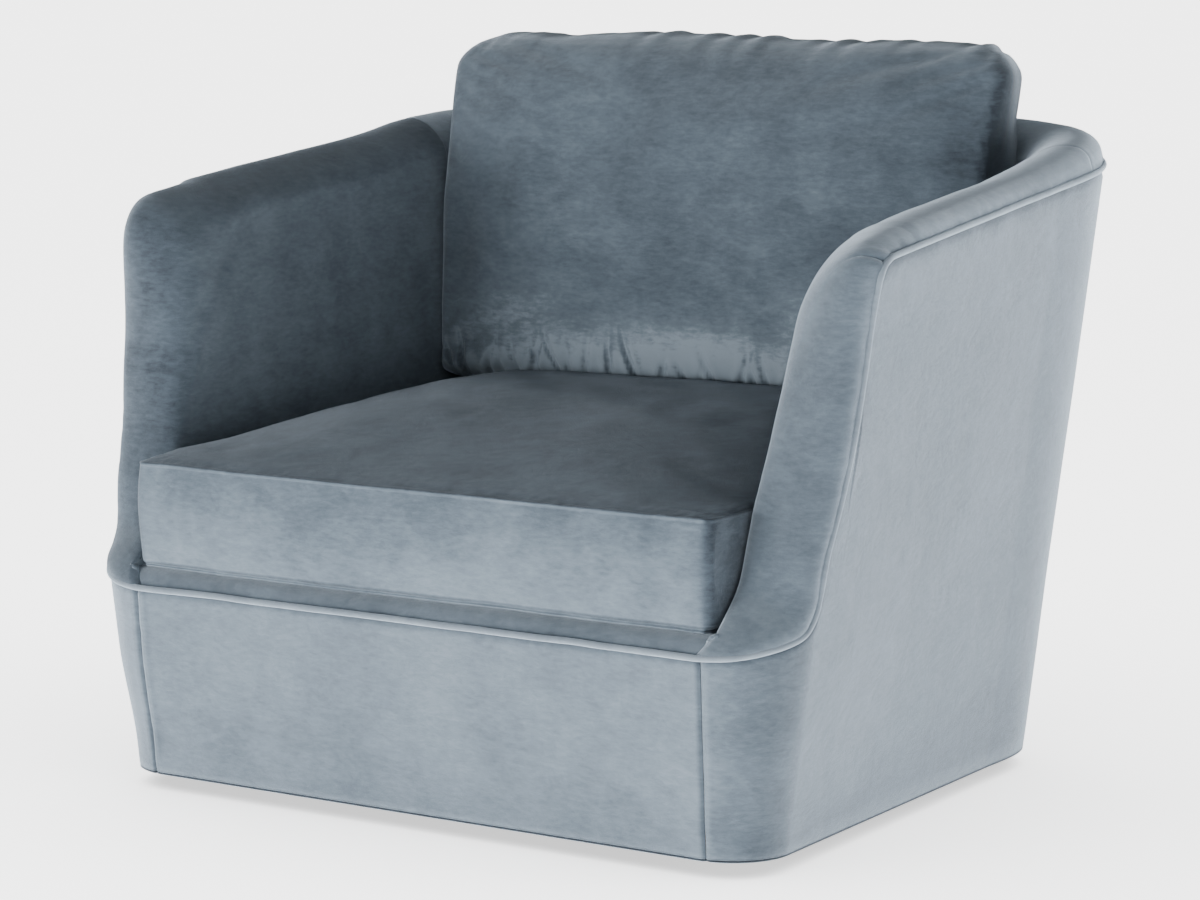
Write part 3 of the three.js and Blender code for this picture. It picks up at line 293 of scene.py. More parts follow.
def grid_faces(n, m, loop=False):
    i = np.arange(n if loop else n - 1)[:, None]
    j = np.arange(m - 1)[None, :]
    a = i * m + j
    b = ((i + 1) % n) * m + j
    return np.stack([a, b, b + 1, a + 1], -1).reshape(-1, 4)


def normals_of(grid):
    n = np.cross(np.gradient(grid, axis=0), np.gradient(grid, axis=1))
    return n / np.maximum(np.linalg.norm(n, axis=-1, keepdims=True), 1e-9)


def column_distance(grid, column):
    """How far each point of a grid is from one of its columns, measured along its row."""
    run = lengths(grid)
    return np.abs(run - run[column])


def thicken_cloth(obj, thickness):
    """Gives an open mesh its thickness, on the inside."""
    solid = obj.modifiers.new("thickness", "SOLIDIFY")
    solid.thickness = thickness
    solid.offset = -1
    return obj


def sheet_piece(name, grid, thickness=0.0035, flip=False):
    faces = grid_faces(*grid.shape[:2])
    if flip:
        faces = faces[:, ::-1]
    return thicken_cloth(new_object(name, grid.reshape(-1, 3), faces), thickness)


# Outside covers

COVER_ROWS = 46
TURNED_IN = np.array([0.012, 0.008, 0.004, 0, 0, 0, 0, 0])  # how far in the hem's first rows lie
HEM_ROWS = np.array([0, 0, 0, 0, 0.0008, 0.0016, 0.0024, 0.0034])  # and how high
HEM_STITCH = (0.0016, 0.0016, 0.0008)  # the stitched line's depth, height and reach
PIPING_GROOVE = (0.0046, 0.0036)  # depth and reach of the dip beside the piping
SEAM_GROOVE = (0.0024, 0.0022)  # and of a plain seam


def groove(d, size):
    """How deep the cloth dips at a distance from a seam."""
    depth, reach = size
    return depth * bell(d, reach)


def cover_grid(places, tops, from_seam, to_seam, seed):
    """Points of an outside cover, a column at each place, from under the hem to behind the piping."""
    share = np.linspace(0, 1, COVER_ROWS)[1:] ** 0.9
    height = (tops - HEM_HEIGHT)[:, None]
    hem = np.repeat(HEM_ROWS[None], len(places), 0)
    rise = np.concatenate([hem, HEM_ROWS[-1] + (height - HEM_ROWS[-1]) * share[None]], axis=1)
    s = np.repeat(places[:, None], rise.shape[1], 1)
    z = HEM_HEIGHT + rise
    depth, level, reach = HEM_STITCH
    inset = depth * bell(rise - level, reach)
    inset[:, :len(TURNED_IN)] += TURNED_IN
    if tops.max() - tops.min() < 1e-6:
        to_edge = tops[:, None] - z
    else:
        flat = np.stack([s, z], -1).reshape(-1, 2)
        to_edge = nearest(flat, right_route[::3])[0].reshape(z.shape)
    inset = inset + groove(to_edge, PIPING_GROOVE)
    for seam in (from_seam, to_seam):
        inset = inset + groove(np.abs(s - seam), SEAM_GROOVE)
    grid = shell(s, z, inset)
    out = unit(shell(s, z, 0) - shell(s, z, 0.01))
    flat_part = ease(rise, 0.004, 0.03)
    seams = np.minimum(np.abs(s - from_seam), np.abs(s - to_seam))
    lift = 0.0011 * noise(grid, (0.16, 0.16, 0.12), seed) * flat_part
    lift += 0.0007 * noise(grid, (0.05, 0.05, 0.03), seed + 1) * np.exp(-to_edge / 0.03) * flat_part
    lift += 0.0008 * bell(seams - 0.007, 0.005) * flat_part
    lift += 0.0006 * noise(grid, (0.03, 0.03, 0.012), seed + 2) * np.exp(-seams / 0.012)
    return eased_out(grid + out * lift[..., None])


def spaced(places):
    """Places without those that are too close behind another."""
    return places[np.concatenate([[True], np.diff(places) > 0.0006])]


def thicken(places, marks, near=0.012, step=0.0016):
    """Places with more of them near the marks."""
    extra = [np.arange(m - near, m + near, step) for m in marks]
    every = np.concatenate([places, *extra])
    every = every[(every >= places[0]) & (every <= places[-1])]
    return spaced(np.unique(np.round(every, 6)))


REAR_SEAM = SIDE_END + (MIDDLE - SIDE_END) * 8 / 14  # where the back's cover meets a side's
GAP = 0.00015  # half the gap between two covers
TUCK = 0.001  # how far a cover ends below the piping's middle
FAR = 9  # out of reach

front_places = thicken(np.linspace(-SEAM + GAP, SEAM - GAP, 150), [-SEAM, SEAM])
grid = cover_grid(front_places, np.full(len(front_places), RAIL_TOP - TUCK), -SEAM, SEAM, 11)
front_cover = sheet_piece("front_outside_panel", grid)

places = even(right_route, 0.006)[:, 0]
places = places[(places > SEAM + 0.001) & (places < REAR_SEAM - 0.001)]
places = thicken(np.concatenate([[SEAM + GAP], places, [REAR_SEAM - GAP]]), [SEAM, REAR_SEAM])
tops = np.interp(places, right_route[:, 0], right_route[:, 1]) - TUCK
side_right = sheet_piece("side_outside_panel_right", cover_grid(places, tops, SEAM, REAR_SEAM, 21))
grid = cover_grid(places, tops, SEAM, REAR_SEAM, 31) * [-1, 1, 1]
side_left = sheet_piece("side_outside_panel_left", grid, flip=True)

places = thicken(np.linspace(REAR_SEAM + GAP, MIDDLE, 60), [REAR_SEAM])
tops = top_line(places) - TUCK
half = cover_grid(places, tops, REAR_SEAM, FAR, 41)
other = cover_grid(places, tops, REAR_SEAM, FAR, 43)[::-1] * [-1, 1, 1]
back_cover = sheet_piece("back_outside_panel", np.concatenate([half, other[1:]]))

# Piping

TUBE_SIDES = 14


def tube(name, line, outward, radius):
    """A closed tube along a line, with its radius at each point."""
    ahead = unit(np.roll(line, -1, 0) - np.roll(line, 1, 0))
    across = unit(outward - (outward * ahead).sum(1, keepdims=True) * ahead)
    up = np.cross(ahead, across)
    angle = np.linspace(0, 2 * math.pi, TUBE_SIDES, endpoint=False)
    ring = np.cos(angle)[None, :, None] * across[:, None] + np.sin(angle)[None, :, None] * up[:, None]
    points = line[:, None] + ring * radius[:, None, None]
    n, m = points.shape[:2]
    i = np.arange(n)[:, None]
    j = np.arange(m)[None, :]
    k = (j + 1) % m
    a, b = i * m, ((i + 1) % n) * m
    faces = np.stack([a + j, b + j, b + k, a + k], -1).reshape(-1, 4)
    return new_object(name, points.reshape(-1, 3), faces)


half = even(right_route, 0.003)
front_run = np.linspace(-SEAM, SEAM, 260)[1:-1]
front_run = np.column_stack([front_run, np.full(len(front_run), RAIL_TOP)])
route = np.concatenate([front_run, half, (half * [-1, 1])[::-1][1:]])
pipe_line = shell(*route.T, 0.0002)
pipe_line = eased_out(pipe_line + noise(pipe_line, 0.045, 51)[:, None] * [0, 0, 0.0005])
pipe_out = shell(*route.T) - shell(*route.T, ARM_THICK)
pipe_radius = CORD * (1.0 + 0.03 * noise(pipe_line, 0.011, 52) + 0.02 * noise(pipe_line, 0.03, 53))
piping = tube("piping_welt", pipe_line, pipe_out, pipe_radius)

# The padded lining: arm borders, rolls and inside faces, one column for each place along the piping

BORDER = [(0, 0), (0.006, 0.25), (0.035, 0.6), (0.12, 0.9), (0.27, 1), (0.45, 0.95), (0.63, 0.8),
          (0.78, 0.62), (0.9, 0.4), (0.97, 0.17), (1, 0)]
ROLL = [(0, 0), (0.008, 0.24), (0.05, 0.58), (0.15, 0.84), (0.3, 0.97), (0.45, 1), (0.62, 0.93),
        (0.78, 0.76), (0.91, 0.5), (0.98, 0.22), (1, 0)]
FACE_STEPS = 34
WALL_STEPS = 30
# A column's place is told by tau: from 0 at the lip, over 20 at the arm's top front corner, to 24
# where the roll starts, and on by 100 for each metre.
CORNER, ROLL_FROM, ROLL_RATE = 20, 24, 100
MITRE = 19.1  # where the seam crosses the corner
SPLIT = SIDE_END + (MIDDLE - SIDE_END) * 2 / 14  # where the arm's lining meets the back's
BORDER_CROWN, BACK_CROWN = 0.0175, 0.026  # how full the border and the roll are
FOOT = DECK_TOP - 0.012
LINING_INSET = 0.0036  # how far its outer edge lies behind the piping
CORNER_ROUNDS = 60
# How the two arms differ. corner is a place, and edge is how far the border's inner edge is rounded:
# share, rows and rounds.
Arm = namedtuple("Arm", "crown rear_crown corner corner_crown edge softening fullness mitre_depth")
ARMS = {
    1: Arm(0.026, 0.010, 19.6, 0.012, (0.5, 5, 14), 0.6, 0, 0.0045),
    -1: Arm(0.034, 0.006, 18.9, 0.030, (0.9, 8, 50), 0.9, 0.007, 0),
}


def lining_places(side):
    """The places of a lining's columns."""
    tau = np.linspace(0, ROLL_FROM, 900)
    line = lining_outer(tau)
    outer, inner = shell(line[:, 0], line[:, 1]), lining_inner(tau)
    gaps = [np.linalg.norm(np.diff(edge, axis=0), axis=1) for edge in (outer, inner)]
    run = np.concatenate([[0], np.cumsum(np.maximum(*gaps))])
    at = np.linspace(0, run[-1], int(run[-1] / 0.0042))
    if side > 0:
        near = np.interp(MITRE, tau, run) + np.arange(-0.012, 0.0121, 0.0015)
        at = np.unique(np.round(np.concatenate([at, near]), 5))
    at = spaced(at)
    start = ARM_TOP_PLACE + ROLL_START
    roll = thicken(np.concatenate([np.arange(start + 0.005, MIDDLE - 0.002, 0.006), [MIDDLE]]), [SPLIT])
    roll = ROLL_FROM + (roll - ARM_TOP_PLACE - ROLL_START) * ROLL_RATE
    return np.concatenate([np.interp(at, run, tau), roll])


def blended(full):
    """How far each column is from the border's form to the roll's."""
    return ease(full, 15.5, ROLL_FROM)


def lining_form(arm, full):
    """The plain form of a lining, a column at each place, and the way each column faces."""
    s, z = lining_outer(full).T
    outer, inner = shell(s, z, LINING_INSET), lining_inner(full)
    along = np.gradient(outer, axis=0) + np.gradient(inner, axis=0)
    across = inner - outer
    face = unit(np.cross(along, across))
    face = np.where((full > ROLL_FROM)[:, None], [0, 0, 1.0], face)
    weight = blended(full)
    narrow = np.minimum(1, np.linalg.norm(across, axis=1) / ARM_THICK) ** 1.2
    to_middle = ease(s, MIDDLE - 0.35, MIDDLE - 0.15)
    crown = arm.crown + ease(s, SIDE_END - 0.1, SIDE_END + 0.12) * (1 - to_middle) * arm.rear_crown
    crown = crown - (crown - BACK_CROWN) * to_middle
    corner = arm.corner_crown * bell(full - arm.corner, 2.4)
    lift = ((BORDER_CROWN * (1 - weight) + crown * weight) + corner) * narrow
    t = np.linspace(0, 1, FACE_STEPS)
    border, rolled = curve_at(BORDER, t), curve_at(ROLL, t)
    profile = border[None] * (1 - weight)[:, None, None] + rolled[None] * weight[:, None, None]
    top = outer[:, None] + across[:, None] * profile[..., :1]
    top = top + face[:, None] * (profile[..., 1:] * lift[:, None, None])
    down = np.linspace(0, 1, WALL_STEPS + 1)[1:] ** 1.05
    wall_z = inner[:, 2:3] + (FOOT - inner[:, 2:3]) * down[None]
    flat_wall = side_face(inner[:, 1:2] + AXIS, wall_z)
    round_wall = shell(s[:, None], wall_z, ARM_THICK, np.maximum(wall_z, SEAT_SEAM))
    wall = np.where((s > SIDE_END)[:, None, None], round_wall, flat_wall)
    return np.concatenate([top, wall], axis=1), face


def soften(grid, share, rounds):
    """Moves the inner points of each row toward the mean of their two neighbours."""
    for _ in range(rounds):
        grid[1:-1] += share * ((grid[:-2] + grid[2:]) / 2 - grid[1:-1])


def round_edges(grid, arm, full):
    """Rounds the border's inner edge and the arm's top front corner, and fills the corner out."""
    row = np.arange(grid.shape[1])
    share, reach, rounds = arm.edge
    share = (share * bell(row - FACE_STEPS + 1, reach))[None, 1:-1, None]
    share = share * ((1 - blended(full)) * ease(full, 2, 8))[:, None, None]
    soften(grid.transpose(1, 0, 2), share.transpose(1, 0, 2), rounds)
    share = (arm.softening * bell(full - 19.6, 2.2))[1:-1, None, None]
    soften(grid, share * ease(row, 0, 6)[None, :, None], CORNER_ROUNDS)
    filled = ease(row, 1, 5) * (1 - ease(row, FACE_STEPS - 6, FACE_STEPS + 2))
    grid[..., 2] += arm.fullness * bell(full - 19.0, 1.8)[:, None] * filled[None]


def lining(side):
    """Half the lining's grid, and its column at the rear seam. side is 1 for the right and -1 for
    the left."""
    arm, full = ARMS[side], lining_places(side)
    grid, face = lining_form(arm, full)
    round_edges(grid, arm, full)
    row, s = np.arange(grid.shape[1]), lining_outer(full)[:, 0]

    # Padding and puckers
    n = normals_of(grid)
    n *= np.sign((n[:, 8] * face).sum(1).mean())
    rowed = lengths(grid, 1)
    puff = 0.0016 * noise(grid, 0.11, 61 + side) + 0.0007 * noise(grid, 0.035, 63 + side)
    puff = puff * ease(rowed, 0.002, 0.02)
    pucker = 0.0011 * noise(grid, (0.02, 0.012, 0.012), 65 + side)
    pucker = pucker * np.exp(-rowed / 0.012) * ease(rowed, 0.001, 0.004)
    belly = 0.004 * np.sin(math.pi * np.clip((grid[..., 2] - 0.42) / 0.25, 0, 1))
    belly *= ease(grid[..., 2], 0.44, 0.5) * (row >= FACE_STEPS)
    belly *= 1 - ease(s, SIDE_END - 0.1, SIDE_END)[:, None]
    belly *= ease(rowed - rowed[:, FACE_STEPS - 1:FACE_STEPS], 0, 0.04)
    displaced = puff + pucker + belly

    # Seams
    mitre, split = int(np.argmin(np.abs(full - MITRE))), int(np.argmin(np.abs(s - SPLIT)))
    for column, depth, reach in ((mitre, arm.mitre_depth, 0.026), (split, 0.0004, FAR)):
        d = column_distance(grid, column)
        dip = -depth * bell(d, 0.0024) + 0.4 * depth * bell(d - 0.008, 0.006)
        gathers = 0.3 * depth * noise(grid, 0.012, 67) * np.exp(-d / 0.01)
        displaced = displaced + (dip + gathers) * bell(rowed, reach)
    displaced = displaced - groove(column_distance(grid, 0), SEAM_GROOVE)
    wall_height = (lining_inner(full)[:, 2] - FOOT)[:, None]
    displaced = displaced * np.where(row < FACE_STEPS, 1, ease(wall_height, 0.015, 0.06))
    grid = eased_out(grid + n * displaced[..., None])
    under_lip = [grid[:1] + [-0.0035 * k, 0.0012 * k, -0.0014 * k] for k in (2, 1)]
    grid = np.concatenate([*under_lip, grid])
    return grid * [side, 1, 1], split + len(under_lip)


def lining_outer(tau):
    """Distance and height of the piping beside each column."""
    front = front_route(np.clip(tau / CORNER, 0, 1))
    corner = ARM_TOP_PLACE + ROLL_START * np.clip((tau - CORNER) / (ROLL_FROM - CORNER), 0, 1)
    s = np.where(tau <= ROLL_FROM, corner, ARM_TOP_PLACE + ROLL_START + (tau - ROLL_FROM) / ROLL_RATE)
    rest = np.stack([s, top_line(s)], -1)
    return np.where((tau <= CORNER)[:, None], front, rest)


def lining_inner(tau):
    """The inner edge of the arm border, or the inner end of the roll."""
    shares = curve_at(INNER_EDGE, np.clip(tau / ROLL_FROM, 0, 1))
    z = RAIL_TOP + (ARM_TOP - RAIL_TOP) * shares[:, 0]
    border = side_face(ARM_SETBACK * shares[:, 1], z)
    s = ARM_TOP_PLACE + ROLL_START + np.maximum(tau - ROLL_FROM, 0) / ROLL_RATE
    roll = shell(s, top_line(s) + ROLL_END, ARM_THICK)
    return np.where((tau <= ROLL_FROM)[:, None], border, roll)


LINING_THICK = 0.003
lined = []
halves = {}
for side, word in ((1, "right"), (-1, "left")):
    grid, split = lining(side)
    arm = sheet_piece("arm_lining_pad_" + word, grid[:split + 1], LINING_THICK, side > 0)
    lined.append((arm, ["arm_border_" + word, "inside_arm_" + word], side))
    halves[side] = grid[split:]
back_lining = np.concatenate([halves[1], halves[-1][::-1][1:]])
back_pad = sheet_piece("inside_back_pad", back_lining, LINING_THICK, True)
lined.append((back_pad, ["inside_back"], 1))

# Lip over the front rail

LIP = [(0.0036, 0), (0.0038, 0.003), (0.006, 0.009), (0.0105, 0.0155), (0.018, 0.0205), (0.028, 0.0225),
       (0.042, 0.0226), (0.056, 0.0222), (0.056, 0.012)]
LIP_STEPS = 30
LIP_LEAN = 0.026  # how far its ends lean out to the arm borders
lip_places = thicken(np.linspace(-SEAM + GAP, SEAM - GAP, 200), [-SEAM, SEAM])
profile = curve_at(LIP, np.linspace(0, 1, LIP_STEPS))
lip = shell(lip_places[:, None], RAIL_TOP + profile[:, 1], profile[:, 0], RAIL_TOP)
leaning = LIP_LEAN * np.sign(lip[..., 0]) * ease(np.abs(lip[..., 0]), 0.33, SEAM)
lip[..., 0] += leaning * ease(profile[:, 1], 0.004, 0.02)
lip_normal = normals_of(lip)
lip_normal *= -np.sign(lip_normal[:, 5, 1].mean())
edge = np.minimum(np.abs(lip_places - SEAM), np.abs(lip_places + SEAM))[:, None]
lip_lift = -groove(edge, SEAM_GROOVE) + 0.0008 * noise(lip, (0.06, 0.02, 0.02), 71)
lip_lift = lip_lift + 0.0005 * noise(lip, (0.012, 0.01, 0.02), 72)
lip = eased_out(lip + lip_normal * (lip_lift * ease(lengths(lip, 1), 0.001, 0.006))[..., None])
front_lip = sheet_piece("front_lip_pad", lip)

# Cushions


def level(plan, scale, z):
    """A ring of plan points scaled about its middle, at a height."""
    centre = (plan.min(0) + plan.max(0)) / 2
    return np.column_stack([centre + (plan - centre) * scale, np.full(len(plan), z)])


def closed_rows(name, rows):
    """A closed mesh from rows of points, each end closed on its middle."""
    n, m = rows.shape[:2]
    i = np.arange(n - 1)[:, None]
    j = np.arange(m)[None, :]
    k = (j + 1) % m
    faces = np.stack([i * m + j, i * m + k, (i + 1) * m + k, (i + 1) * m + j], -1).reshape(-1, 4).tolist()
    points = np.concatenate([rows.reshape(-1, 3), rows[0].mean(0)[None], rows[-1].mean(0)[None]])
    first, last = n * m, n * m + 1
    for a in range(m):
        b = (a + 1) % m
        faces += [[first, b, a], [last, (n - 1) * m + a, (n - 1) * m + b]]
    return new_object(name, points, faces)


def apply_modifiers(obj):
    dg = bpy.context.evaluated_depsgraph_get()
    mesh = bpy.data.meshes.new_from_object(obj.evaluated_get(dg))
    old = obj.data
    obj.modifiers.clear()
    obj.data = mesh
    bpy.data.meshes.remove(old)
    shade_smooth(mesh)


def coordinates(mesh, kind="co"):
    values = np.zeros(len(mesh.vertices) * 3)
    mesh.vertices.foreach_get(kind, values)
    return values.reshape(-1, 3)


def set_points(obj, points):
    obj.data.vertices.foreach_set("co", points.ravel())
    obj.data.update()


def subdivide(obj):
    sub = obj.modifiers.new("smooth", "SUBSURF")
    sub.levels = sub.render_levels = 1
    apply_modifiers(obj)


VOXEL = 0.0065
CLOTH_FRAMES = 20


def inflate(obj, cap, pressure, held, stiffness, bending):
    """Puffs a closed mesh up with a cloth simulation. No point moves more than cap, and held says
    which points are sewn down."""
    bpy.context.view_layer.objects.active = obj
    remesh = obj.modifiers.new("remesh", "REMESH")
    remesh.mode = "VOXEL"
    remesh.voxel_size = VOXEL
    remesh.use_smooth_shade = True
    apply_modifiers(obj)
    rest = coordinates(obj.data)
    group = obj.vertex_groups.new(name="held")
    group.add(np.flatnonzero(held(rest)).tolist(), 1.0, "REPLACE")
    cloth = obj.modifiers.new("cloth", "CLOTH")
    settings = {
        "quality": 4, "mass": 0.3, "tension_stiffness": stiffness, "compression_stiffness": stiffness,
        "shear_stiffness": stiffness / 3, "bending_stiffness": bending, "vertex_group_mass": "held",
        "use_pressure": True, "uniform_pressure_force": pressure}
    for name, value in settings.items():
        setattr(cloth.settings, name, value)
    cloth.settings.effector_weights.gravity = 0
    cloth.collision_settings.use_collision = False
    cloth.point_cache.frame_start = 1
    cloth.point_cache.frame_end = CLOTH_FRAMES
    scene = bpy.context.scene
    for number in range(1, CLOTH_FRAMES + 1):
        scene.frame_set(number)
    evaluated = obj.evaluated_get(bpy.context.evaluated_depsgraph_get())
    shift = coordinates(evaluated.data) - rest
    obj.modifiers.remove(cloth)
    obj.vertex_groups.remove(group)
    scene.frame_set(1)
    size = np.linalg.norm(shift, axis=1, keepdims=True)
    shift *= np.minimum(1, cap / np.maximum(size, 1e-9))
    set_points(obj, rest + shift)


def relax(obj, share, rounds):
    """Evens out small wrinkles: each point moves toward its neighbours' mean by its share."""
    points = coordinates(obj.data)
    ends = np.zeros(len(obj.data.edges) * 2, dtype=np.int32)
    obj.data.edges.foreach_get("vertices", ends)
    a, b = ends.reshape(-1, 2).T
    count = np.bincount(ends, minlength=len(points))[:, None]
    amount = 0.5 * share(points)[:, None]
    for _ in range(rounds):
        total = np.zeros_like(points)
        np.add.at(total, a, points[b])
        np.add.at(total, b, points[a])
        points += amount * (total / count - points)
    set_points(obj, points)


# Seat cushion: a boxed crowned form between the arms
SEAT_FRONT = 0.008 - FRONT_FLARE * (RAIL_TOP - HEM_HEIGHT) - AXIS
SEAT_BOTTOM = DECK_TOP + 0.0003
SEAT_CROWN = 0.044
SEAT_EASE = 0.0012  # its room at the arms
SEAT_CORNER = 0.013
SEAT_SEAMS = (SEAT_BOTTOM + 0.004, SEAT_SEAM)
SEAM_RINGS = (-0.006, -0.003, -0.0013, 0, 0.0013, 0.003, 0.006)  # rings of edges beside a seam
TOP_SCALES = (0.99, 0.975, 0.95, 0.92, 0.88, 0.83, 0.76, 0.68, 0.58, 0.46, 0.34, 0.2, 0.05)


def seat_plan():
    """The cushion's outline as an even ring, from the middle of its front round its right side."""
    right = inside_plan(ARM_THICK + SEAT_EASE, 500)
    angle = np.linspace(0, math.pi / 2, 12)
    bend = np.stack([right[0, 0] - SEAT_CORNER * (1 - np.sin(angle)),
                     SEAT_FRONT + SEAT_CORNER * (1 - np.cos(angle))], -1)
    right = right[right[:, 1] > SEAT_FRONT + SEAT_CORNER]
    return even_ring(np.concatenate([[[0, SEAT_FRONT]], bend, right]), 0.01)


def outline_distance(points, outline):
    """How far points are in plan from a ring of plan points."""
    ring = even(np.concatenate([outline, outline[:1]]), 0.004)
    return nearest(points[:, :2], ring)[0]


def rings_at(obj, heights):
    """Cuts a ring of edges into a mesh at each height, so that a seam there is crisp."""
    work = bmesh.new()
    work.from_mesh(obj.data)
    for z in heights:
        geometry = work.verts[:] + work.edges[:] + work.faces[:]
        bmesh.ops.bisect_plane(work, geom=geometry, plane_co=(0, 0, z), plane_no=(0, 0, 1), dist=1e-5)
    bmesh.ops.remove_doubles(work, verts=work.verts, dist=0.0003)
    work.to_mesh(obj.data)
    work.free()
    shade_smooth(obj.data)


def inside_tub(points, clearance):
    """Points of a cushion, with those beyond the tub's inside faces moved back onto them. Over the
    roll they are freer."""
    wall = inside_plan(ARM_THICK + clearance, 600)
    along = unit(np.gradient(wall, axis=0))
    rise = np.maximum(points[:, 2] - SEAT_SEAM, 0)
    free = ease(points[:, 2], 0.755, 0.80)
    moved = np.column_stack([SIDE_FLARE * rise + 0.09 * free, BACK_FLARE * rise + 0.03 * free])
    at = np.column_stack([np.abs(points[:, 0]), points[:, 1]]) - moved
    beyond = at[:, 0] > np.interp(at[:, 1], wall[:, 1], wall[:, 0])
    far = at[beyond]
    near = nearest(far, wall)[1]
    far = wall[near] + along[near] * ((far - wall[near]) * along[near]).sum(1, keepdims=True)
    result = points.copy()
    result[beyond, 0] = np.sign(points[beyond, 0]) * (far[:, 0] + moved[beyond, 0])
    result[beyond, 1] = far[:, 1] + moved[beyond, 1]
    return result


def seat_rows(plan):
    """Rings of the cushion from the middle of its foot round its sides to the middle of its top."""
    low, high = plan.min(0), plan.max(0)
    centre, reach = (low + high) / 2, (high - low) / 2
    rows = [level(plan, scale, SEAT_BOTTOM) for scale in np.linspace(0.05, 0.97, 10)]
    rows += [level(plan, 1, z) for z in SEAT_BOTTOM + (SEAT_SEAM - SEAT_BOTTOM) * np.linspace(0, 1, 14)]
    for scale in TOP_SCALES:
        row = level(plan, scale, SEAT_SEAM)
        a, b = np.abs(row[:, :2] - centre).T / reach[:, None]
        along = np.clip((row[:, 1] - low[1]) / (high[1] - low[1]) / 0.7, 0, 1)
        swell = (1 - a**8) ** 0.6 * (1 - (1 - along) ** 2.2) * (1 - b**12) ** 0.6
        row[:, 2] += SEAT_CROWN * swell
        rows.append(row)
    return np.array(rows)


def seat_lift(points, normal, plan):
    """How far the cushion's cloth stands out at each point."""
    x, y, z = points.T
    lift = 0.0022 * noise(points, (0.13, 0.13, 0.1), 81) + 0.0009 * noise(points, 0.045, 82)

    # The boxed front bulges, with fine upright creases
    up = np.clip((z - SEAT_BOTTOM) / (SEAT_SEAM - SEAT_BOTTOM), 0, 1)
    front_face = np.clip(-normal[:, 1], 0, 1) * (1 - ease(y, SEAT_FRONT + 0.01, SEAT_FRONT + 0.04))
    lift += 0.006 * np.sin(math.pi * up) * front_face
    creases = noise(np.column_stack([x, 0 * up, up * 0.3]), (0.028, 1, 0.5), 85)
    lift += 0.0012 * creases * np.sin(math.pi * up) * front_face

    # Both seams are drawn in, with gathers at the front corners, and a ridge lies under the upper one
    near = outline_distance(points, plan)
    wander = 0.0011 * noise(np.column_stack([x, y, 0 * near]), 0.05, 84)
    half_width = plan[:, 0].max()
    for seam in SEAT_SEAMS:
        d = np.abs(z - seam - wander)
        lift -= (0.0012 if seam == SEAT_SEAM else 0.0026) * (bell(d, 0.0019) * (near < 0.02))
        if seam == SEAT_SEAM:
            lift += 0.0018 * bell(z - seam - wander + 0.0032, 0.0015) * (near < 0.02)
        gather = noise(np.column_stack([x + y, y - x, seam + 0 * d]), (0.011, 0.011, 1), 83)
        corner = bell(np.abs(np.abs(x) - half_width), 0.05) * bell(y - SEAT_FRONT, 0.06)
        lift += (0.0003 + 0.0012 * corner) * gather * np.exp(-d / 0.012) * (near < 0.03)
    return lift


def make_seat(plan):
    obj = closed_rows("seat_cushion_pad", seat_rows(plan))

    def held(points):
        edge = outline_distance(points, plan) < 0.009
        z = points[:, 2]
        at_seam = (np.abs(z - SEAT_SEAM) < 0.006) | (z < SEAT_BOTTOM + 0.008)
        return (z < SEAT_BOTTOM + 0.003) | (edge & at_seam)

    inflate(obj, 0.022, 2.0, held, stiffness=40.0, bending=8.0)
    relax(obj, lambda at: ease(at[:, 2], SEAT_SEAM + 0.003, SEAT_SEAM + 0.012), 24)
    subdivide(obj)
    heights = [z + d for z in SEAT_SEAMS for d in SEAM_RINGS]
    rings_at(obj, [z for z in heights if z > SEAT_BOTTOM + 0.0006])
    points, normal = coordinates(obj.data), coordinates(obj.data, "normal")
    wall = inside_plan(ARM_THICK + SEAT_EASE, 300)
    room = np.interp(points[:, 1], wall[:, 1], wall[:, 0])
    room = room + SIDE_FLARE * np.maximum(points[:, 2] - SEAT_SEAM, 0)
    points = points + normal * seat_lift(points, normal, plan)[:, None]
    points[:, 2] = np.maximum(points[:, 2], SEAT_BOTTOM)
    points[:, 0] = np.clip(points[:, 0], -room, room)
    points[:, 1] = np.clip(points[:, 1], SEAT_FRONT - 0.012, plan[:, 1].max() + 0.001)
    set_points(obj, points)
    return obj


seat = make_seat(seat_plan())

# Back cushion: a loose soft cushion that stands on the seat and leans on the back
BACK_BASE = 0.434
BACK_HEIGHT = 0.884 - BACK_BASE
BACK_HALF = [(0.434, 0.386), (0.46, 0.392), (0.67, 0.402), (0.78, 0.407), (0.84, 0.411), (0.90, 0.405)]
BACK_THICK = 0.160
BACK_SEAM_TOP, BACK_SEAM_FOOT = 0.075, 0.135  # how thick its ends are
BACK_LEAN = 0.135
BACK_POWER = 7  # of its superelliptic rows
BACK_SWELL = 0.008  # how much thinner it starts than it ends up
BACK_SHRINK = 0.003
BACK_MOVED = -0.007  # it stands a little to the left
TUCK_X, TUCK_Z = 0.368, 0.872  # where its top corners are tucked in


def bow(share):
    """A quarter circle: 0 at 0, and 1 from 1 on."""
    return math.sqrt(max(0, 1 - max(0, 1 - share) ** 2))


def back_face(z):
    """Depth of the tub's inside back at a height."""
    return HEM_DEPTH + BACK_FLARE * (z - HEM_HEIGHT) - ARM_THICK - AXIS


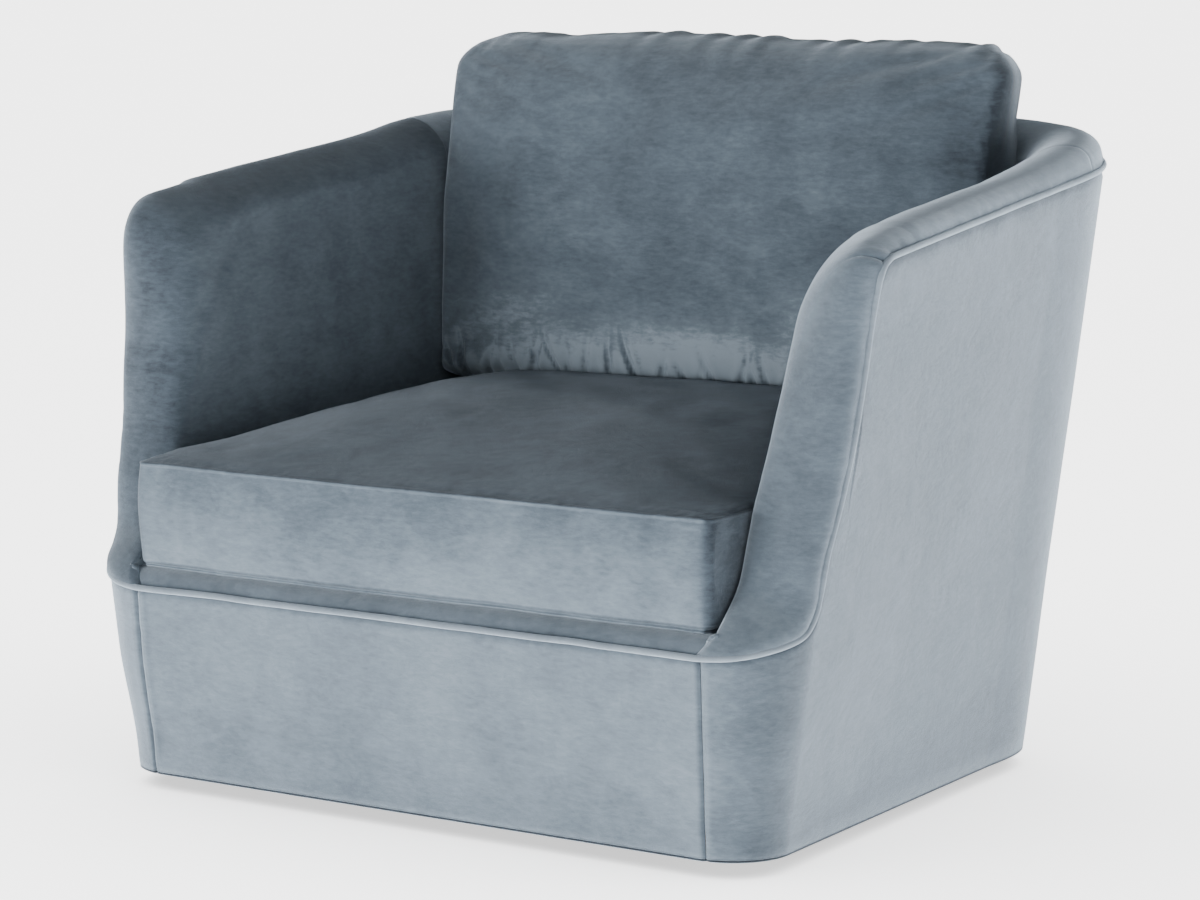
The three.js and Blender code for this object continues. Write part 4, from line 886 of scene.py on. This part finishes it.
def back_row(t):
    """Half width, half thickness, depth and height of the back cushion's row at a share of its
    height."""
    z = BACK_BASE + BACK_HEIGHT * t
    belly = math.sqrt(max(0, 1 - abs(2 * t - 1) ** 3))
    depth = min(t, 1 - t) * BACK_HEIGHT
    seam = BACK_SEAM_TOP if t > 0.5 else BACK_SEAM_FOOT
    thick = (seam * (0.45 + 0.55 * bow(depth / 0.030)) * (1 - belly) + BACK_THICK * belly) / 2
    foot = back_face(BACK_BASE) - 0.014
    leaning = foot + (z - BACK_BASE) * math.tan(BACK_LEAN)
    wall = min(leaning, back_face(z)) - BACK_THICK / 2 * 0.25 * (1 - belly)
    tall, wide = (0.042, 0.075) if t > 0.5 else (0.020, 0.030)
    width = float(np.interp(z, *zip(*BACK_HALF))) - wide * (1 - bow(depth / tall))
    return width - BACK_SHRINK, thick, wall - thick, z


def back_rows():
    angle = np.linspace(0, 2 * math.pi, 400, endpoint=False)
    c, d = np.cos(angle), np.sin(angle)
    reach = (np.abs(c) ** BACK_POWER + np.abs(d) ** BACK_POWER) ** (-1 / BACK_POWER)
    rows = []
    for t in 0.5 - 0.5 * np.cos(np.linspace(0.02, math.pi - 0.02, 60)):
        width, thick, y, z = back_row(float(t))
        depth = y + (thick - BACK_SWELL) * d * reach
        rows.append(np.column_stack([width * c * reach, depth, np.full(len(c), z)]))
    return np.array(rows)


def foot_gathers(x, low):
    """The gathers that run up from the cushion's foot, at a height above it."""
    lift = 0 * x
    draw = np.random.default_rng(29)
    for place in np.arange(-0.375, 0.38, 0.024):
        place = place + draw.uniform(-0.009, 0.009)
        lean, depth = draw.uniform(-0.5, 0.5), draw.uniform(0.002, 0.0075)
        reach = draw.uniform(0.016, 0.042)
        off = x - place - lean * (low - 0.02)
        fold = 0.5 * bell(np.abs(off) - 0.009, 0.006) - bell(off, 0.0034)
        lift += depth * fold * bell(np.maximum(low - 0.022, 0), reach) * ease(low, 0.004, 0.016)
    return lift


def back_lift(points):
    """How far the cushion's cloth stands out at each point."""
    x, low, high = points[:, 0], points[:, 2] - BACK_BASE, BACK_BASE + BACK_HEIGHT - points[:, 2]
    lift = foot_gathers(x, low)
    lift += 0.004 * noise(np.column_stack([x, 0 * x, low]), (0.07, 1, 0.06), 92) * np.exp(-low / 0.05)
    pleat = noise(np.column_stack([x, 0 * x, high * 0.3]), (0.021, 1, 0.05), 93)
    lift += 0.0022 * pleat * np.exp(-np.maximum(high, 0) / 0.02)
    plump, fine = noise(points, (0.13, 0.2, 0.11), 94), noise(points, (0.05, 0.06, 0.06), 95)
    lift += 0.0045 * plump + 0.002 * fine
    return lift


def make_back():
    obj = closed_rows("back_cushion_pad", back_rows())

    def held(points):
        edge = np.zeros(len(points))
        for number, (x, y, z) in enumerate(points):
            t = min(max((z - BACK_BASE) / BACK_HEIGHT, 0.0), 1.0)
            width, thick, middle, _ = back_row(t)
            side = max(abs(x) / max(width, 0.01), abs(2 * t - 1))
            seam = abs(abs(y - middle) - (thick - BACK_SWELL) * 0.8)
            edge[number] = side > 0.965 and seam < 0.006
        return edge

    inflate(obj, 0.026, 4.0, held, stiffness=30.0, bending=3.0)
    subdivide(obj)
    points, normal = coordinates(obj.data), coordinates(obj.data, "normal")
    share, lift = (points[:, 2] - BACK_BASE) / BACK_HEIGHT, back_lift(points)
    seen = np.maximum(np.clip(-normal[:, 1], 0, 1), np.abs(normal[:, 2]))
    points = points + [BACK_MOVED, 0, 0] + normal * (lift * (0.35 + 0.65 * seen))[:, None]
    tucked = np.hypot(np.abs(points[:, 0]) - TUCK_X, points[:, 2] - TUCK_Z)
    points -= normal * (0.0025 * bell(tucked, 0.009))[:, None]

    # Its rear is narrower toward the top corners, and it stays inside the tub
    heights = np.linspace(0, 1, 50)
    middle = np.interp(share, heights, [back_row(float(t))[2] for t in heights])
    behind = ease(points[:, 1] - middle, -0.03, 0.04) * ease(points[:, 2], 0.70, 0.80)
    behind = behind * ease(np.abs(points[:, 0]), 0.2, 0.4)
    points[:, 0] -= 0.016 * np.sign(points[:, 0]) * behind
    points = inside_tub(points, 0.001)
    points[:, 1] = np.minimum(points[:, 1], back_face(points[:, 2]) - 0.001)
    points[:, 2] = np.maximum(points[:, 2], BACK_BASE)
    set_points(obj, points)
    return obj


back = make_back()

# Deck under the seat cushion, and the cloths below
DECK_FRONT = 0.0567 - FRONT_FLARE * (RAIL_TOP - HEM_HEIGHT) - AXIS
HOLE = 0.275  # radius of the dust cloth's opening for the base
DUST_HEIGHT = 0.0214


def deck_slab(name, bottom, top, round_edge, seed):
    right = inside_plan(ARM_THICK + 0.0008, 300)
    right = right[right[:, 1] > DECK_FRONT]
    half = np.concatenate([[[0, DECK_FRONT], [right[0, 0] - 0.001, DECK_FRONT]], right])
    plan = even_ring(half, 0.012)
    levels = [(scale, bottom) for scale in np.linspace(0.05, 1 - round_edge, 12)]
    levels += [(1, (bottom + top) / 2)]
    levels += [(scale, top) for scale in np.linspace(1 - round_edge, 0.05, 40)]
    rows = []
    for scale, z in levels:
        row = level(plan, scale, z)
        if z == top:
            row[:, 2] -= 0.0009 * (1 + noise(row, (0.09, 0.09, 1), seed)) * ease(1 - scale, 0.0, 0.05)
        rows.append(row)
    return closed_rows(name, np.array(rows))


deck = deck_slab("deck_padding", DECK_TOP - 0.014, DECK_TOP - 0.0001, 0.012, 101)
deck_under = deck_slab("deck_platform_cloth", DECK_TOP - 0.0163, DECK_TOP - 0.0143, 0.004, 103)

places = np.concatenate([np.linspace(0, STRAIGHT, 40), np.linspace(STRAIGHT, MIDDLE, 240)[1:]])
ring = mirrored(shell(places, HEM_HEIGHT, 0.0055)[:, :2])
to_hole = unit(ring) * HOLE
rows = []
for t in np.linspace(0, 1, 26):
    at = to_hole + (ring - to_hole) * t
    sag = 0.0002 * noise(np.column_stack([at, 0 * at[:, 0]]), 0.05, 105)
    rows.append(np.column_stack([at, np.full(len(at), DUST_HEIGHT) + sag * math.sin(math.pi * t)]))
rows = np.array(rows).transpose(1, 0, 2)
under = new_object("dust_cloth_sheet", rows.reshape(-1, 3), grid_faces(*rows.shape[:2], loop=True))
thicken_cloth(under, 0.0009)

# Materials


def preset(node, inputs):
    for name, value in inputs.items():
        node.inputs[name].default_value = value


class Nodes:
    """A material's nodes, with short ways to add and join them."""

    def __init__(self, name):
        self.material = bpy.data.materials.new(name)
        self.material.use_nodes = True
        self.tree = self.material.node_tree
        self.shader = self.tree.nodes["Principled BSDF"]
        self.space = self.add("ShaderNodeTexCoord").outputs["Object"]
        self.facing = self.add("ShaderNodeTexCoord").outputs["Normal"]

    def add(self, kind, inputs=None, **values):
        """A new node, with its settings and its unlinked inputs by name."""
        node = self.tree.nodes.new(kind)
        for key, value in values.items():
            setattr(node, key, value)
        preset(node, inputs or {})
        return node

    def join(self, source, target):
        self.tree.links.new(source, target)

    def textured(self, kind, vector, inputs, **values):
        node = self.add(kind, inputs, **values)
        self.join(vector or self.space, node.inputs["Vector"])
        return node

    def stretched(self, scale):
        return self.textured("ShaderNodeMapping", None, {"Scale": scale}).outputs["Vector"]

    def noise(self, scale, detail=2.0, roughness=0.5, distortion=0.0, vector=None):
        inputs = {"Scale": scale, "Detail": detail, "Roughness": roughness, "Distortion": distortion}
        return self.textured("ShaderNodeTexNoise", vector, inputs).outputs["Fac"]

    def wave(self, scale, distortion=0.0, vector=None, direction="X"):
        inputs = {"Scale": scale, "Distortion": distortion, "Detail": 2.0}
        node = self.textured("ShaderNodeTexWave", vector, inputs, bands_direction=direction)
        return node.outputs["Fac"]

    def part(self, vector, axis):
        return self.textured("ShaderNodeSeparateXYZ", vector, {}).outputs[axis]

    def math(self, operation, *values):
        node = self.add("ShaderNodeMath", operation=operation)
        for socket, value in zip(node.inputs, values):
            if isinstance(value, (int, float)):
                socket.default_value = value
            else:
                self.join(value, socket)
        return node.outputs[0]

    def plus(self, a, b):
        return self.math("ADD", a, b)

    def times(self, a, b):
        return self.math("MULTIPLY", a, b)

    def ramp(self, source, stops):
        node = self.add("ShaderNodeValToRGB")
        while len(node.color_ramp.elements) < len(stops):
            node.color_ramp.elements.new(0.5)
        for element, (place, color) in zip(node.color_ramp.elements, stops):
            element.position = place
            element.color = (*color, 1)
        self.join(source, node.inputs["Fac"])
        return node.outputs["Color"]

    def span(self, source, low, high, start=0.0, end=1.0):
        inputs = {"From Min": start, "From Max": end, "To Min": low, "To Max": high}
        node = self.add("ShaderNodeMapRange", inputs, interpolation_type="SMOOTHSTEP")
        self.join(source, node.inputs["Value"])
        return node.outputs["Result"]

    def finish(self, color, roughness, heights, inputs=None):
        """Joins colour, roughness and bumps (source, distance, strength) to the shader."""
        self.join(color, self.shader.inputs["Base Color"])
        self.join(roughness, self.shader.inputs["Roughness"])
        preset(self.shader, inputs or {})
        last = None
        for source, distance, strength in heights:
            node = self.add("ShaderNodeBump", {"Distance": distance, "Strength": strength})
            self.join(source, node.inputs["Height"])
            if last is not None:
                self.join(last, node.inputs["Normal"])
            last = node.outputs["Normal"]
        self.join(last, self.shader.inputs["Normal"])
        return self.material


VELVET = [(0.012, 0.017, 0.024), (0.072, 0.094, 0.118), (0.104, 0.133, 0.162), (0.142, 0.177, 0.210)]
PIPING = [(0.05, 0.06, 0.075), (0.11, 0.137, 0.165), (0.14, 0.172, 0.205), (0.17, 0.207, 0.24)]


def velvet(name, shade, colors=VELVET, streaks=(1.0, 1.0, 0.45), sheen=1.0, patch=3.2, tone=0.0,
           rise=None, under=0.0):
    """Cut pile, with painted shade. colors run from pressed to raised pile, and the painted shade also
    moves the colour along them; streaks says which way it was brushed. shade is painted shade: how much
    darker the colour is made where it faces a side, the front or up, and under the same where it faces
    down.
    rise is (axis, from, to, amount): painted shading along an axis, painted light where amount is
    positive and painted shade where it is negative."""
    m = Nodes(name)
    broad = m.noise(patch, 3.0, 0.55, 0.5)
    brushed = m.noise(11.0, 4.0, 0.6, 0.6, m.stretched(streaks))
    marks = m.noise(38.0, 5.0, 0.65, 0.4, m.stretched((0.6, 0.6, 1.0)))
    combed = m.noise(210.0, 3.0, 0.6, 0.2, m.stretched((0.35, 0.35, 1.0)))
    pile = m.noise(1500.0, 2.0, 0.7)
    # Painted shade: the colour is made darker by where each point faces, sideways, toward the front and
    # up
    sideways = m.times(m.math("ABSOLUTE", m.part(m.facing, "X")), -shade[0])
    forward = m.times(m.math("MINIMUM", m.part(m.facing, "Y"), 0.0), shade[1])
    upward = m.times(m.part(m.facing, "Z"), -shade[2])
    mixed = m.plus(m.plus(sideways, forward), m.plus(upward, 0.5 + tone))
    # Painted shade where the cloth faces down, such as the dark line under a cushion's edge
    if under:
        downward = m.math("MINIMUM", m.plus(m.part(m.facing, "Z"), 0.3), 0.0)
        mixed = m.plus(mixed, m.times(downward, under))
    # Painted shading along one axis: a positive amount paints light, a negative one paints shade
    if rise:
        axis, start, end, amount = rise
        mixed = m.plus(mixed, m.span(m.part(m.space, axis), 0, amount, start, end))
    for source, weight in ((broad, 0.38), (brushed, 0.28), (marks, 0.36), (combed, 0.33), (pile, 0.22)):
        mixed = m.plus(mixed, m.times(m.math("SUBTRACT", source, 0.5), weight))
    color = m.ramp(mixed, list(zip((0.0, 0.36, 0.5, 0.66), colors)))
    bumps = [(brushed, 0.003, 0.2), (marks, 0.003, 0.35), (combed, 0.0008, 0.4), (pile, 0.0005, 0.6)]
    return m.finish(color, m.span(marks, 0.72, 0.95), bumps, {
        "Sheen Weight": sheen, "Sheen Roughness": 0.5, "Sheen Tint": (0.74, 0.86, 0.98, 1),
        "Specular IOR Level": 0.12})


# Painted shade: the covers and lip are darker on their sides and where they face up, and a dark band is
# painted along the lowest few millimetres of the hem as its shadow
velvet_main = velvet("velvet_cover", (0.38, 0.05, 0.3), rise=("Z", 0.0245, 0.0225, -0.4))
# Two copies of one velvet with different painted shade: the right lining is darker where it faces the
# front; the left one is darker where it faces the front and up, darker toward the rear of the arm and has
# weaker sheen, as shade inside the left arm
velvet_lining = {
    1: velvet("velvet_lining_right", (0.03, 0.19, 0), tone=-0.03),
    -1: velvet("velvet_lining_left", (0, 0.34, 0.3), sheen=0.45, tone=0.06,
               rise=("Y", -0.36, -0.1, -0.07)),
}
# Painted shade on the seat cushion: darker on its sides and top, darker toward the rear, and a dark line
# painted under its edges where they face down
velvet_seat = velvet("velvet_seat", (0.5, 0.05, 0.36), streaks=(0.4, 1.0, 1.0), sheen=0.35,
                     rise=("Y", -0.35, 0.2, -0.14), under=1.4)
# Painted shade on the back cushion's sides and top, and painted light rising toward its foot, with a
# lighter last colour so the ramp can reach it
velvet_back = velvet("velvet_back", (0.42, 0, 0.3), VELVET[:3] + [(0.20, 0.245, 0.287)],
                     streaks=(0.4, 1.0, 1.0), sheen=0.7, tone=-0.07, rise=("Z", 0.60, 0.455, 0.31))
velvet_piping = velvet("velvet_piping", (0, 0, 0), PIPING, patch=9.0)


def woven(name, dark, light, threads):
    m = Nodes(name)
    warp = m.wave(threads, 0.4)
    weft = m.wave(threads, 0.4, direction="Y")
    weave = m.math("MAXIMUM", warp, weft)
    mottle = m.noise(40.0, 3.0)
    value = m.plus(m.times(weave, 0.6), m.times(mottle, 0.4))
    return m.finish(m.ramp(value, [(0.2, dark), (0.9, light)]), m.span(mottle, 0.84, 0.96),
                    [(weave, 0.0004, 0.5), (mottle, 0.001, 0.2)], {"Specular IOR Level": 0.2})


def wood(name, dark, light, plies=False):
    m = Nodes(name)
    if plies:
        grain = m.wave(60.0, 1.2, direction="Z")
    else:
        grain = m.wave(14.0, 6.0, m.stretched((0.35, 4.0, 4.0)), direction="Z")
    fibre = m.noise(60.0, 5.0, 0.65, 0.3, m.stretched((0.5, 8.0, 8.0)))
    value = m.plus(m.times(grain, 0.45), m.times(fibre, 0.55))
    return m.finish(m.ramp(value, [(0.25, dark), (0.75, light)]), m.span(fibre, 0.55, 0.8),
                    [(fibre, 0.0008, 0.3), (m.noise(500.0, 2.0), 0.0003, 0.3)])


def metal(name, color, roughness):
    m = Nodes(name)
    smear = m.noise(30.0, 4.0, 0.6, 0.5)
    fine = m.noise(600.0, 2.0, 0.6, 0.0, m.stretched((1.0, 6.0, 1.0)))
    darker = tuple(c * 0.78 for c in color)
    return m.finish(m.ramp(smear, [(0.3, darker), (0.7, color)]),
                    m.span(smear, roughness - 0.08, roughness + 0.12),
                    [(fine, 0.0001, 0.3), (smear, 0.0006, 0.15)], {"Metallic": 1.0})


def painted(name, color, roughness):
    m = Nodes(name)
    orange = m.noise(220.0, 2.0)
    scuff = m.noise(18.0, 6.0, 0.7, 1.0)
    lighter = tuple(min(1, c * 2.2 + 0.01) for c in color)
    return m.finish(m.ramp(scuff, [(0.5, color), (0.85, lighter)]),
                    m.span(scuff, roughness - 0.08, roughness + 0.15), [(orange, 0.0003, 0.25)])


cad_materials = {
    "plywood": wood("birch_plywood", (0.47, 0.33, 0.19), (0.66, 0.51, 0.34), True),
    "hardwood": wood("sawn_hardwood", (0.36, 0.24, 0.14), (0.55, 0.40, 0.25)),
    "spring_steel": metal("spring_wire", (0.32, 0.32, 0.33), 0.35),
    "plate_steel": metal("zinc_plate", (0.55, 0.56, 0.57), 0.36),
    "bolt_steel": metal("zinc_bolts", (0.48, 0.48, 0.47), 0.3),
    "black_paint": painted("black_painted_board", (0.012, 0.012, 0.013), 0.45),
    "glide_plastic": painted("moulded_glide", (0.03, 0.03, 0.032), 0.5),
}
cloth_black = woven("black_cloth", (0.008, 0.008, 0.009), (0.03, 0.03, 0.032), 260.0)
deck_cloth = woven("deck_weave", (0.06, 0.07, 0.085), (0.13, 0.15, 0.17), 160.0)


def wear(obj, material):
    obj.data.materials.clear()
    obj.data.materials.append(material)


def dress(obj, nodes, material, body="chair"):
    """Gives a piece its material, hides the nodes it stands for, and says what it rides on."""
    wear(obj, material)
    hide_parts(*nodes)
    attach(obj, body)


slots = {part["node"]: part["material_slot"] for part in frame["record"]["subparts"]}
for node, obj in frame["nodes"].items():
    if slots[node] in cad_materials:
        wear(obj, cad_materials[slots[node]])

dress(front_cover, ["front_outside_cover"], velvet_main)
dress(side_right, ["side_outside_cover_right"], velvet_main)
dress(side_left, ["side_outside_cover_left"], velvet_main)
dress(back_cover, ["back_outside_cover"], velvet_main)
dress(piping, ["piping"], velvet_piping)
dress(front_lip, ["front_lip"], velvet_main)
dress(seat, ["seat_cushion"], velvet_seat, body="seat_cushion")
dress(back, ["back_cushion"], velvet_back, body="back_cushion")
dress(deck, ["deck_pad"], deck_cloth)
dress(deck_under, ["deck_cloth"], cloth_black)
dress(under, ["dust_cloth"], cloth_black)
for obj, nodes, side in lined:
    dress(obj, nodes, velvet_lining[side])

# Floor, light and camera
WHITE = (1, 1, 1, 1)
PAPER = (0.80, 0.80, 0.80)

paper = Nodes("pale_floor")
mottled = paper.ramp(paper.noise(0.6, 2.0), [(0.3, PAPER), (0.7, tuple(c * 1.02 for c in PAPER))])
paper.join(mottled, paper.shader.inputs["Base Color"])
preset(paper.shader, {"Roughness": 0.9, "Emission Color": WHITE, "Emission Strength": 1.0})
bpy.ops.mesh.primitive_plane_add(size=300, location=(0, 0, 0))
floor = bpy.context.object
floor.name = "floor"
floor.data.materials.append(paper.material)

world = bpy.data.worlds.new("studio")
bpy.context.scene.world = world
world.use_nodes = True
preset(world.node_tree.nodes["Background"], {"Color": WHITE, "Strength": 0.32})


def area_light(name, place, target, size, power):
    data = bpy.data.lights.new(name, "AREA")
    data.shape = "RECTANGLE"
    data.size, data.size_y = size
    data.energy = power
    obj = linked(name, data)
    obj.location = place
    obj.rotation_euler = (Vector(target) - Vector(place)).to_track_quat("-Z", "Y").to_euler()


area_light("key", place=(4.6, 2.2, 0.7), target=(0.2, 0.1, 0.4), size=(2.4, 1.0), power=72)
area_light("front", place=(-2.2, -4.7, 0.6), target=(0, 0, 0.4), size=(2.4, 0.8), power=200)

# A soft sun on the floor alone, which keeps it pale
wash = linked("floor_wash", bpy.data.lights.new("floor_wash", "SUN"))
wash.data.energy = 12.0
wash.data.angle = 2.0
lit = bpy.data.collections.new("lit_floor")
lit.objects.link(floor)
wash.light_linking.receiver_collection = lit

CAMERA_DOWN, CAMERA_TURN = 0.1427, 0.5816
camera = linked("camera", bpy.data.cameras.new("camera"))
camera.location = (2.509, -3.856, 1.052)
camera.rotation_euler = (math.pi / 2 - CAMERA_DOWN, 0, CAMERA_TURN)
camera.data.lens = 114.33
camera.data.sensor_width = 36
camera.data.clip_end = 400
bpy.context.scene.camera = camera
